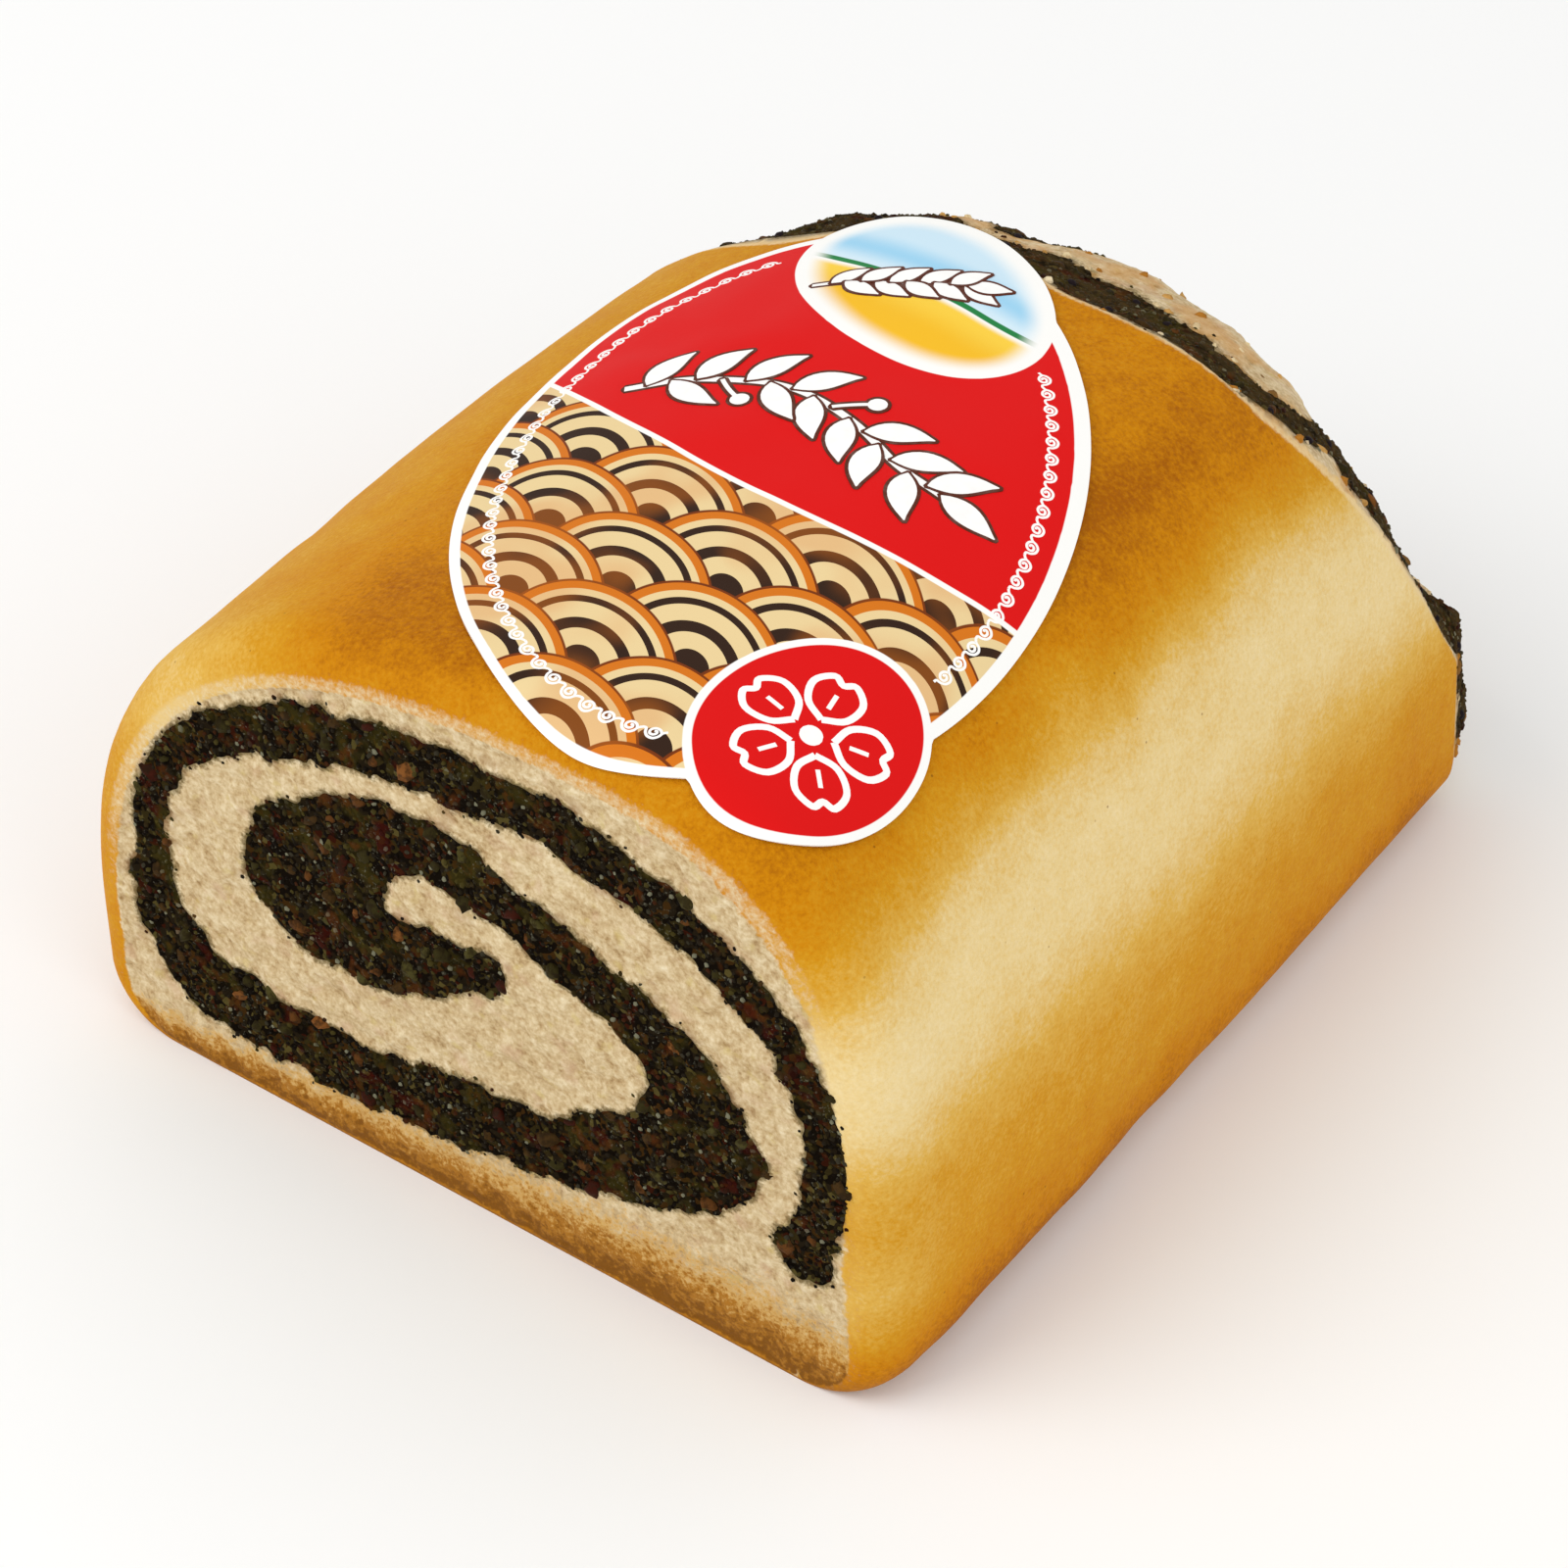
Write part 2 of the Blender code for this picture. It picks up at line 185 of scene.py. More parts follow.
class Finder:
    # finds the nearest place on a closed line in a plane
    def __init__(self, line):
        self.line = resampled(line, 0.12, closed=True)
        self.outward = planeNormals(self.line)
        self.tree = kdtree.KDTree(len(self.line))
        for index, (x, z) in enumerate(self.line):
            self.tree.insert((x, z, 0), index)
        self.tree.balance()
        around = np.concatenate([line, line[:1]])
        lengths = np.r_[0, np.cumsum(np.linalg.norm(np.diff(around, axis=0), axis=1))]
        self.source = np.interp(np.linspace(0, lengths[-1], len(self.line), endpoint=False), lengths,
                                np.arange(len(around)))

    def distance(self, points):
        return np.array([self.tree.find((x, z, 0))[2] for x, z in points])

    def nearest(self, points):
        return np.array([self.tree.find((x, z, 0))[1] for x, z in points])

    def valueAt(self, nearest, values):
        # what the line's own points say, at the nearest places
        return np.interp(self.source[nearest], np.arange(len(values) + 1), np.append(values, values[0]))

    def inside(self, points, nearest):
        return -((points - self.line[nearest]) * self.outward[nearest]).sum(axis=1)

    def keptInside(self, points, gap):
        # points moved in where they come closer to the line than the gap
        nearest = self.nearest(points)
        short = np.maximum(gap - self.inside(points, nearest), 0)
        return points - self.outward[nearest] * short[:, None]

    def drawnOut(self, points, *tables, window=25):
        # points near the line moved out: the outermost of them keep the wanted gap, and the layer of
        # filling and the layer of crumb behind it get as thin as told
        reach, filled = swirl["backReach"], swirl["backFilled"]
        nearest = self.nearest(points)
        inside = self.inside(points, nearest)
        least = np.full(len(self.line), np.inf)
        np.minimum.at(least, nearest, inside)
        least = np.min([np.roll(least, k) for k in range(-window, window + 1)], axis=0)
        least = np.minimum(least, swirl["backMost"])
        least = np.mean([np.roll(least, k) for k in range(-window, window + 1)], axis=0)[nearest]
        wanted, thinned, crumbed, packed = (self.valueAt(nearest, values) for values in tables)
        past = np.maximum(inside - least, 0)
        first = wanted + past * thinned
        second = wanted + filled * thinned + (past - filled) * packed
        both = wanted + filled * thinned + crumbed * packed
        depth = filled + crumbed
        far = both + (past - depth) * (reach - both) / np.maximum(reach - least - depth, 1.0)
        moved = np.where(past < filled, first, np.where(past < depth, second, far))
        shift = np.where(inside < reach, inside - np.minimum(moved, inside), 0)
        return points + self.outward[nearest] * shift[:, None]


class Shape:
    # a mesh gathered block by block, with a number or more at each corner
    def __init__(self):
        self.points = []
        self.fields = []
        self.faces = []
        self.count = 0

    def add(self, points, **fields):
        points = np.asarray(points, float)
        indices = np.arange(self.count, self.count + len(points))
        self.points.append(points)
        self.fields.append(fields)
        self.count += len(points)
        return indices

    def bridge(self, near, far, closed=True):
        after = np.roll(np.arange(len(near)), -1)
        first = np.arange(len(near)) if closed else np.arange(len(near) - 1)
        after = after[:len(first)]
        self.faces.append(np.stack([near[first], far[first], far[after], near[after]], axis=1))

    def make(self, name, finish, sharp=None):
        points = np.concatenate(self.points)
        faces = [face for block in self.faces for face in np.asarray(block).tolist()]
        used = np.zeros(len(points), bool)
        for block in self.faces:
            used[np.asarray(block).ravel()] = True
        newIndex = np.cumsum(used) - 1
        faces = [[int(newIndex[i]) for i in face] for face in faces]
        mesh = bpy.data.meshes.new(name)
        placed = (points[used] + (0, frontY, 0)) * mm
        mesh.from_pydata(placed.tolist(), [], faces)
        for field in sorted({key for fields in self.fields for key in fields}):
            values = [
                np.broadcast_to(np.asarray(fields.get(field, 0.0), float), (len(block),))
                for block, fields in zip(self.points, self.fields)
            ]
            layer = mesh.attributes.new(field, "FLOAT", "POINT")
            layer.data.foreach_set("value", np.concatenate(values)[used].astype(np.float32))
        mesh.update()
        mesh.shade_smooth()
        if sharp:
            mesh.set_sharp_from_angle(angle=math.radians(sharp))
        mesh.materials.append(finish)
        piece = bpy.data.objects.new(name, mesh)
        bpy.context.scene.collection.objects.link(piece)
        return piece


class Wire:
    # a socket that adds a Math node when it is calculated with
    def __init__(self, finish, socket):
        self.finish = finish
        self.socket = socket

    def math(self, operation, *values):
        return self.finish.node("ShaderNodeMath", {"operation": operation}, dict(enumerate(values)))

    def __add__(self, other):
        return self.math("ADD", self, other)

    def __radd__(self, other):
        return self.math("ADD", other, self)

    def __sub__(self, other):
        return self.math("SUBTRACT", self, other)

    def __rsub__(self, other):
        return self.math("SUBTRACT", other, self)

    def __mul__(self, other):
        return self.math("MULTIPLY", self, other)

    def __rmul__(self, other):
        return self.math("MULTIPLY", other, self)

    def __truediv__(self, other):
        return self.math("DIVIDE", self, other)

    def step(self, low, high):
        # 0 up to low, 1 from high on, eased between
        return self.finish.node(
            "ShaderNodeMapRange", {"interpolation_type": "SMOOTHSTEP"}, {0: self, 1: low, 2: high}
        )


class Finish:
    # a material and the nodes that make it
    def __init__(self, name, roughness, specular=0.5):
        self.material = bpy.data.materials.new(name)
        self.material.use_nodes = True
        self.tree = self.material.node_tree
        self.shader = self.tree.nodes["Principled BSDF"]
        self.shader.inputs["Roughness"].default_value = roughness
        self.shader.inputs["Specular IOR Level"].default_value = specular
        self.place = self.node("ShaderNodeVectorMath", {"operation": "SCALE"},
                               {0: self.node("ShaderNodeTexCoord", output=3), "Scale": 1 / mm})

    def node(self, kind, settings=None, values=None, output=0):
        made = self.tree.nodes.new(kind)
        for name, value in (settings or {}).items():
            if name == "stops":
                ramp = made.color_ramp
                while len(ramp.elements) < len(value):
                    ramp.elements.new(1.0)
                for element, (at, colour) in zip(ramp.elements, value):
                    element.position = at
                    element.color = colour
            elif name == "blend":
                made.color_ramp.interpolation = value
            else:
                setattr(made, name, value)
        for name, value in (values or {}).items():
            self.join(value, made.inputs[name])
        return Wire(self, made.outputs[output])

    def join(self, value, socket):
        if isinstance(value, Wire):
            self.tree.links.new(value.socket, socket)
        else:
            socket.default_value = value

    def set(self, socket, value):
        self.join(value, self.shader.inputs[socket])

    def field(self, name):
        return self.node("ShaderNodeAttribute", {"attribute_name": name}, output=2)

    def noise(self, size, detail=2.0, rough=0.5, shift=0.0):
        place = self.place
        if shift:
            place = self.node("ShaderNodeVectorMath", {"operation": "ADD"}, {0: place, 1: (shift, shift, shift)})
        return self.node("ShaderNodeTexNoise", {}, {
            "Vector": place, "Scale": 1 / size, "Detail": detail, "Roughness": rough,
        })

    def cells(self, size, output=0):
        return self.node("ShaderNodeTexVoronoi", {}, {"Vector": self.place, "Scale": 1 / size}, output)

    def mix(self, factor, first, second):
        return self.node("ShaderNodeMix", {"data_type": "RGBA"}, {0: factor, 6: first, 7: second}, output=2)

    def ramp(self, value, stops, blend="EASE"):
        return self.node("ShaderNodeValToRGB", {"blend": blend, "stops": stops}, {0: value})

    def bump(self, height, depth, onto=None):
        values = {"Height": height, "Distance": depth * mm, "Strength": 1.0}
        if onto:
            values["Normal"] = onto
        return self.node("ShaderNodeBump", {}, values)


def paint(red, green, blue):
    # a colour given in the usual 0 to 255, as light
    return tuple(((v / 255 + 0.055) / 1.055) ** 2.4 if v > 10 else v / 255 / 12.92 for v in (red, green, blue)) + (1.0,)


def crustInset(y):
    ahead = np.maximum(1 - y / loaf["rollLength"], 0.0)
    settle = (loaf["frontInset"] - loaf["frontRoll"]) * np.maximum(1 - y / loaf["levelLength"], 0.0)
    return settle + loaf["frontRoll"] * (1 - np.sqrt(1 - ahead * ahead))


def reachAt(x):
    return np.where(x > loaf["crestX"], loaf["rightReach"], loaf["leftReach"])


def lowered(x, z, y):
    # the back half of the loaf gets lower and narrower
    back = np.maximum(y - loaf["levelLength"], 0.0) / loaf["backDropLength"]
    drop = loaf["backDrop"] * back ** 2 * z / loaf["height"]
    return loaf["crestX"] + (x - loaf["crestX"]) * (1 - drop / reachAt(x)), z * (1 - drop / loaf["height"])


def crustPoint(x, z, y):
    inset = crustInset(y)
    narrowed = loaf["crestX"] + (x - loaf["crestX"]) * (1 - inset / reachAt(x))
    x, z = lowered(narrowed, z * (1 - inset / loaf["height"]), y)
    return np.stack([x, np.broadcast_to(y, x.shape), z], axis=-1)


def rimY(x, z):
    # how far back the rim leans to, and how far a tongue of crust passes it
    leaning = loaf["baseLength"] - loaf["leanSlope"] * (np.clip(z, loaf["leanFrom"], loaf["leanTo"]) - loaf["leanFrom"])
    leaning = leaning - np.minimum(np.maximum(loaf["skewFrom"] - x, 0.0) * loaf["skewSlope"], loaf["skewMost"])
    aside = np.minimum(np.abs(x - loaf["tongueX"]) / loaf["tongueHalfWidth"], 1.0)
    return leaning, loaf["tongue"] * (0.5 + 0.5 * np.cos(math.pi * aside)) * smooth((z - 50) / 15)


def archOutline():
    # the crust from the right foot over the crest to the left foot: x, z and the way across from the crest
    foot = np.radians(np.linspace(0, 90, 60, endpoint=False))
    rise = np.radians(np.linspace(0, 90, 500))
    right, left = loaf["crestX"] + loaf["rightReach"], loaf["crestX"] - loaf["leftReach"]
    round_, height = loaf["footRadius"], loaf["height"]
    rightUp = loaf["rightReach"] * np.cos(rise) ** (2 / loaf["rightPower"])
    rightHigh = loaf["rightSpring"] + (height - loaf["rightSpring"]) * np.sin(rise) ** (2 / loaf["rightPower"])
    fall = rise[::-1]
    leftDown = loaf["leftReach"] * np.cos(fall).clip(0) ** (2 / loaf["leftPower"])
    leftHigh = loaf["leftSpring"] + (height - loaf["leftSpring"]) * np.sin(fall) ** (2 / loaf["leftPower"])
    x = np.r_[right - round_ * (1 - np.sin(foot)), loaf["crestX"] + rightUp, loaf["crestX"] - leftDown[1:],
              left + round_ * (1 - np.sin(foot[::-1]))]
    z = np.r_[round_ * (1 - np.cos(foot)), rightHigh, leftHigh[1:], round_ * (1 - np.cos(foot[::-1]))]
    line = np.stack([x, z], axis=1)
    lengths = np.r_[0, np.cumsum(np.linalg.norm(np.diff(line, axis=0), axis=1))]
    return np.column_stack([line, lengths[np.argmax(z)] - lengths])


arch = archOutline()


def crustRelief(points):
    # soft uneven rises in the crust, none at the foot and the front cut
    fade = smooth(points[:, 1] / 4) * smooth(points[:, 2] / 5)
    return loaf["waviness"] * fade * (waves(points, 17.0, 1) + 0.45 * waves(points, 6.0, 2))


def crustAt(across, along):
    # a place on the crust by the way across from the crest, to the right, and the way along from the cut
    x = np.interp(-across, -arch[:, 2], arch[:, 0])
    z = np.interp(-across, -arch[:, 2], arch[:, 1])
    return crustPoint(x, z, along)


def liftedCrust(across, along, lift):
    spot = crustAt(across, along)
    sideways = crustAt(across + 0.4, along) - crustAt(across - 0.4, along)
    forward = crustAt(across, along + 0.4) - crustAt(across, along - 0.4)
    out = np.cross(sideways, forward)
    out /= np.linalg.norm(out, axis=1, keepdims=True)
    return spot + out * (lift + crustRelief(spot))[:, None]


# The back end's bulge past its rim, by the way along the crust from the right foot
bulge = {
    "rows": [(0, 7.2, 8.0), (9, 8.2, 4.5), (23, 7.0, 4.5), (36, 4.2, 9.0), (64, 6.0, 9.0), (78, 11.5, 11.5),
             (91, 19.2, 14.0), (107, 24.0, 14.0), (116, 18.0, 12.0), (124, 14.2, 8.0), (136, 12.2, 6.5),
             (149, 3.5, 11.0)],
    "middle": 12.5,
    "middleRun": 26.0,
    "spineLeft": -27.0,
    "spineRight": 19.0,
    "spineHigh": 30.0,
}


class BackEnd:
    # the torn back end as a height over x and z
    def __init__(self, rim, isBase, fromFoot):
        height, run = tableAt(bulge["rows"], fromFoot)
        share = np.where(isBase, (rim[:, 0] - rim[isBase, 0].min()) / np.ptp(rim[isBase, 0]), 0)
        footHigh, footRun = bulge["rows"][0][1:]
        lastHigh, lastRun = bulge["rows"][-1][1:]
        height = np.where(isBase, lastHigh + (footHigh - lastHigh) * share, height)
        run = np.where(isBase, lastRun + (footRun - lastRun) * share, run)
        table = np.column_stack([rim[:, 0], rim[:, 2], height, run])
        left, right, high = bulge["spineLeft"], bulge["spineRight"], bulge["spineHigh"]
        self.sectors = []
        for centre, chosen in ((right, table[:, 0] >= right - 3), (left, table[:, 0] <= left + 3)):
            turn = self.turn(table[chosen, 0], table[chosen, 1], centre)
            self.sectors.append((turn, table[chosen]))
        for upper in (True, False):
            chosen = (table[:, 0] > left - 6) & (table[:, 0] < right + 6) & ((table[:, 1] > high) == upper)
            self.sectors.append((table[chosen, 0], table[chosen]))

    def turn(self, x, z, centre):
        # the angle about an end of the spine, from straight down round the outside
        side = 1 if centre > 0 else -1
        return np.arctan2((x - centre) * side, bulge["spineHigh"] - z)

    def __call__(self, x, z):
        left, right, high = bulge["spineLeft"], bulge["spineRight"], bulge["spineHigh"]
        edge = np.zeros((len(x), 4))
        zones = [x > right, x < left, (x <= right) & (x >= left) & (z > high), (x <= right) & (x >= left) & (z <= high)]
        keys = [self.turn(x, z, right), self.turn(x, z, left), x, x]
        for zone, key, (row, table) in zip(zones, keys, self.sectors):
            order = np.argsort(row)
            for k in range(4):
                edge[zone, k] = np.interp(key[zone], row[order], table[order, k])
        depth = np.hypot(edge[:, 0] - x, edge[:, 1] - z)
        leaning, tongue = rimY(x, z)
        part = np.minimum(depth / edge[:, 3], 1.0)
        rise = part * (1 + part - part * part)
        swelling = edge[:, 2] * rise + (bulge["middle"] - edge[:, 2]) * smooth(depth / bulge["middleRun"])
        return leaning + tongue * np.exp(-depth / 4) + swelling


# The middle line of the filling on the front cut, from its outer end inwards: x, z and thickness
swirl = {
    "rows": [
        (42.6, 18.8, 6.6), (44.0, 23.0, 6.0), (44.8, 28.0, 5.4), (45.1, 35.0, 4.8), (43.2, 42.5, 4.9),
        (39.6, 49.0, 5.6),
        (33.4, 53.4, 6.0), (27.2, 57.3, 6.2), (19.3, 59.8, 6.6), (9.3, 61.8, 6.5), (-1.2, 61.0, 6.8),
        (-14.2, 59.0, 7.0), (-23.7, 55.4, 6.6), (-31.7, 50.8, 5.2), (-38.0, 44.4, 4.1), (-41.6, 36.0, 4.3),
        (-42.2, 27.0, 5.4), (-41.0, 18.6, 8.0), (-37.4, 13.8, 10.6), (-30.7, 11.8, 10.2), (-21.2, 11.2, 9.4),
        (-12.2, 11.2, 9.0), (-4.7, 12.7, 9.9), (3.3, 14.2, 9.8), (10.3, 15.0, 8.7), (17.3, 18.2, 10.6),
        (24.6, 22.0, 13.0), (30.8, 28.6, 14.8), (31.0, 33.4, 12.0), (27.0, 37.5, 9.4), (20.6, 41.2, 8.6),
        (13.8, 43.9, 7.4), (7.3, 47.0, 7.2), (0.8, 48.9, 7.6), (-6.2, 49.3, 8.6), (-13.7, 45.5, 10.8),
        (-19.5, 39.5, 15.4), (-19.8, 33.4, 15.6), (-13.4, 31.9, 12.4), (-6.6, 33.2, 10.0), (-0.8, 34.8, 7.6),
        (3.2, 36.6, 4.6),
    ],
    "steps": 8,
    "edgeStep": 0.42,
    "ragged": [(3.4, 0.5), (1.5, 0.48), (0.8, 0.2)],    # size of the waves in its edge, and how far they go
    "swellLength": 23.0,
    "spreadLength": 14.0,
    "spreadUp": 2.8,
    "spreadLeft": 1.0,
    "spreadRight": 0.9,
    "stations": [14.0, 23.0, 46.0, 75.0],
    "leastCrust": 0.5,
    # how close the filling comes to the rim at the back, by the way across from the crest
    "backGap": [(-66, 8.0), (-48, 1.4), (-38, 0.5), (33, 0.5), (38, 4.0), (54, 4.0), (58, 0.8), (62, 0.5),
                (96, 0.5), (100, 8.0)],
    # its outer turn and the crumb behind that, and how much of their thickness they keep there
    "backFilled": 7.2,
    "backThin": [(-44, 0.9), (-34, 0.5), (-20, 0.5), (-6, 0.7), (8, 0.72), (18, 0.5), (44, 0.5), (66, 0.8),
                 (80, 0.9)],
    "backCrumb": [(-44, 5.0), (-10, 5.5), (5, 6.5), (24, 7.5), (44, 6.0)],
    "backPacked": [(-52, 1.0), (-30, 0.6), (-12, 0.25), (12, 0.2), (30, 0.6), (52, 1.0)],
    "backMost": 8.0,           # the furthest in that its outer turn counts as near the rim
    "backReach": 30.0,
    "backTail": 10.0,          # how much lower its outer end hangs there
    "lump": 0.8,
    "proud": 0.4,
}


def swirlLoop(outline):
    # the filling's outline on the front cut: a disc slid along its middle line, then made ragged
    path = curveThrough(swirl["rows"], swirl["steps"])
    centres, radii = path[:, :2], path[:, 2] / 2
    side = planeNormals(centres, closed=False) * radii[:, None]
    caps = []
    for end, other in ((0, 1), (-1, -2)):
        away = math.atan2(*(centres[end] - centres[other])[::-1])
        turns = away + np.radians(np.linspace(75, -75, 9))
        caps.append(centres[end] + radii[end] * np.stack([np.cos(turns), np.sin(turns)], axis=1))
    loop = np.concatenate([caps[0], centres - side, caps[1], (centres + side)[::-1]])
    gaps = np.linalg.norm(loop[:, None] - centres[None], axis=2) - radii[None] * 0.985
    loop = resampled(loop[gaps.min(axis=1) > 0], swirl["edgeStep"], closed=True)
    turnsLeft = (loop[:, 0] * np.roll(loop[:, 1], -1) - loop[:, 1] * np.roll(loop[:, 0], -1)).sum() > 0
    if not turnsLeft:
        loop = loop[::-1]
    soft = loop
    for _ in range(3):
        soft = (np.roll(soft, 1, axis=0) + soft + np.roll(soft, -1, axis=0)) / 3
    return raggedLoop(soft, outline, 20)


def raggedLoop(loop, outline, seed):
    flat = np.column_stack([loop[:, 0], np.zeros(len(loop)), loop[:, 1]])
    room = smooth(Finder(outline).distance(loop) / 2.5)
    shift = sum(reach * waves(flat, size, seed + k) for k, (size, reach) in enumerate(swirl["ragged"]))
    return loop + planeNormals(loop) * (shift * room)[:, None]


def untangled(loop):
    # which points to keep, so that the line nowhere crosses itself
    def side(a, b, c):
        return (b[:, 0] - a[:, 0]) * (c[:, 1] - a[:, 1]) - (b[:, 1] - a[:, 1]) * (c[:, 0] - a[:, 0])

    keep = np.ones(len(loop), bool)
    after = np.roll(loop, -1, axis=0)
    for gap in range(2, 50):
        other, otherAfter = np.roll(loop, -gap, axis=0), np.roll(loop, -gap - 1, axis=0)
        apart = side(loop, after, other) * side(loop, after, otherAfter) >= 0
        apart |= side(other, otherAfter, loop) * side(other, otherAfter, after) >= 0
        for i in np.flatnonzero(~apart):
            keep[(i + 1 + np.arange(gap)) % len(loop)] = False
    return keep


def swirlAt(loop, y):
    # where the filling's outline lies further back: it swells with the loaf and spreads at the back
    x, z = loop.T
    inset = loaf["frontInset"] * (1 - smooth(y / swirl["swellLength"]))
    spread = smooth(1 - (rimY(x, z)[0] - y) / swirl["spreadLength"])
    reach = reachAt(x)
    sideways = reach - inset + np.where(x > loaf["crestX"], swirl["spreadRight"], swirl["spreadLeft"]) * spread
    upward = loaf["height"] - inset + swirl["spreadUp"] * spread
    newX = loaf["crestX"] + (x - loaf["crestX"]) * sideways / (reach - loaf["frontInset"])
    return lowered(newX, z * upward / (loaf["height"] - loaf["frontInset"]), y)


def insidePoints(outline, loop, step):
    # an uneven triangular grid that keeps clear of the outline and of the filling's edge
    low, high = outline.min(axis=0), outline.max(axis=0)
    columns, rows = np.meshgrid(np.arange(low[0], high[0], step), np.arange(low[1], high[1], step * 0.866))
    columns[1::2] += step / 2
    spots = np.stack([columns.ravel(), rows.ravel()], axis=1) + rng.uniform(-0.16, 0.16, (columns.size, 2)) * step
    clear = np.minimum(Finder(outline).distance(spots), Finder(loop).distance(spots))
    return spots[clear > step * 0.45]


def endFaces(outline, loop, inner):
    # the triangles of an end of the loaf: those of the crumb, then those of the filling
    corners = [Vector(p) for p in np.concatenate([outline, loop, inner])]
    edges = len(outline)
    result = geometry.delaunay_2d_cdt(
        corners, [], [list(range(edges)), list(range(edges, edges + len(loop)))], 1, 1e-7
    )
    source = np.array([origin[0] if origin else -1 for origin in result[3]])
    crumb, filling = [], []
    for face, within in zip(result[2], result[5]):
        if len(face) == 3 and 0 in within:
            (filling if 1 in within else crumb).append([source[i] for i in face])
    return np.array(crumb), np.array(filling)


crumbLook = {
    # how high the toasted band over the base reaches, by x
    "toastBand": [(-54, 4.4), (-35, 5.2), (-24, 6.2), (-3, 7.8), (25, 11.0), (42, 11.0), (54, 9.0)],
    "crumbly": 1.35,           # size of its crumbs
    "finer": 0.8,
    "depth": 0.2,              # how deep the gaps between them are
    # how far the crust shows round the rim of the front cut, by the way across from the crest
    "crustReach": [(-121, 0.8), (-96, 1.2), (-60, 0.6), (-20, 0.6), (8, 1.0), (24, 2.0), (46, 2.4), (80, 2.6),
                   (90, 1.2), (98, 0.5)],
}


def crumbGrain(flat):
    # the crumbs of the cut, 1 on top of one, and below 0 in the pores between them; it also paints highlights on their
    # tops and shade in the pores
    lump, kind = grains(flat, crumbLook["crumbly"], 40)
    small = grains(flat, crumbLook["finer"], 45)[0]
    tops = np.maximum(1 - (lump / (0.66 * crumbLook["crumbly"])) ** 2, 0) * (0.7 + 0.3 * kind)
    tops = 0.65 * tops + 0.35 * np.maximum(1 - (small / (0.7 * crumbLook["finer"])) ** 2, 0)
    holes = np.where(kind < -0.72, np.maximum(1 - lump / 0.8, 0), 0)
    return tops - 1.1 * holes


def crumbRelief(flat, grain):
    return crumbLook["depth"] * (grain - 0.5) + 0.18 * waves(flat, 7.0, 43) + 0.08 * waves(flat, 3.0, 42)


def pasteRelief(flat, depth):
    # seeds and ground bits in the filling
    seed, kind = grains(flat, 1.5, 50)
    domes = np.sqrt(np.maximum(1 - (seed / 0.95) ** 2, 0.0)) * (0.55 + 0.45 * kind)
    return depth * (0.42 * domes + 0.3 * waves(flat, 3.2, 51) + 0.16 * waves(flat, 1.6, 52) - 0.25)


def edgeFields(points, across, rim):
    # how close the crust is to the cut and to the torn rim, paler there, and how strongly its foot is toasted
    atCut = 1 - smooth(points[:, 1] / 0.25)
    atRim = 1 - smooth((rim - points[:, 1]) / 0.3)
    frayed = (1 - smooth(points[:, 1] / 0.5)) * frayedShare(across)
    behind = (1 - smooth((rim - points[:, 1]) / 1.3)) * rimShare(across)
    return {"cut": 0.5 * (atCut + atRim), "frayed": frayed, "behind": behind, "toast": toastAt(points),
            "grain": 0.5}


def rimShare(across):
    return np.interp(across, *np.array(crust["rimShare"]).T)


def frayedShare(across):
    return np.interp(across, *np.array(crust["frayedShare"]).T)


def toastAt(points):
    # 1 on the base, 0 at the top of the toasted band on the cut, which is wider to the right
    band = np.interp(points[:, 0], *np.array(crumbLook["toastBand"]).T)
    return 1 - points[:, 2] / band


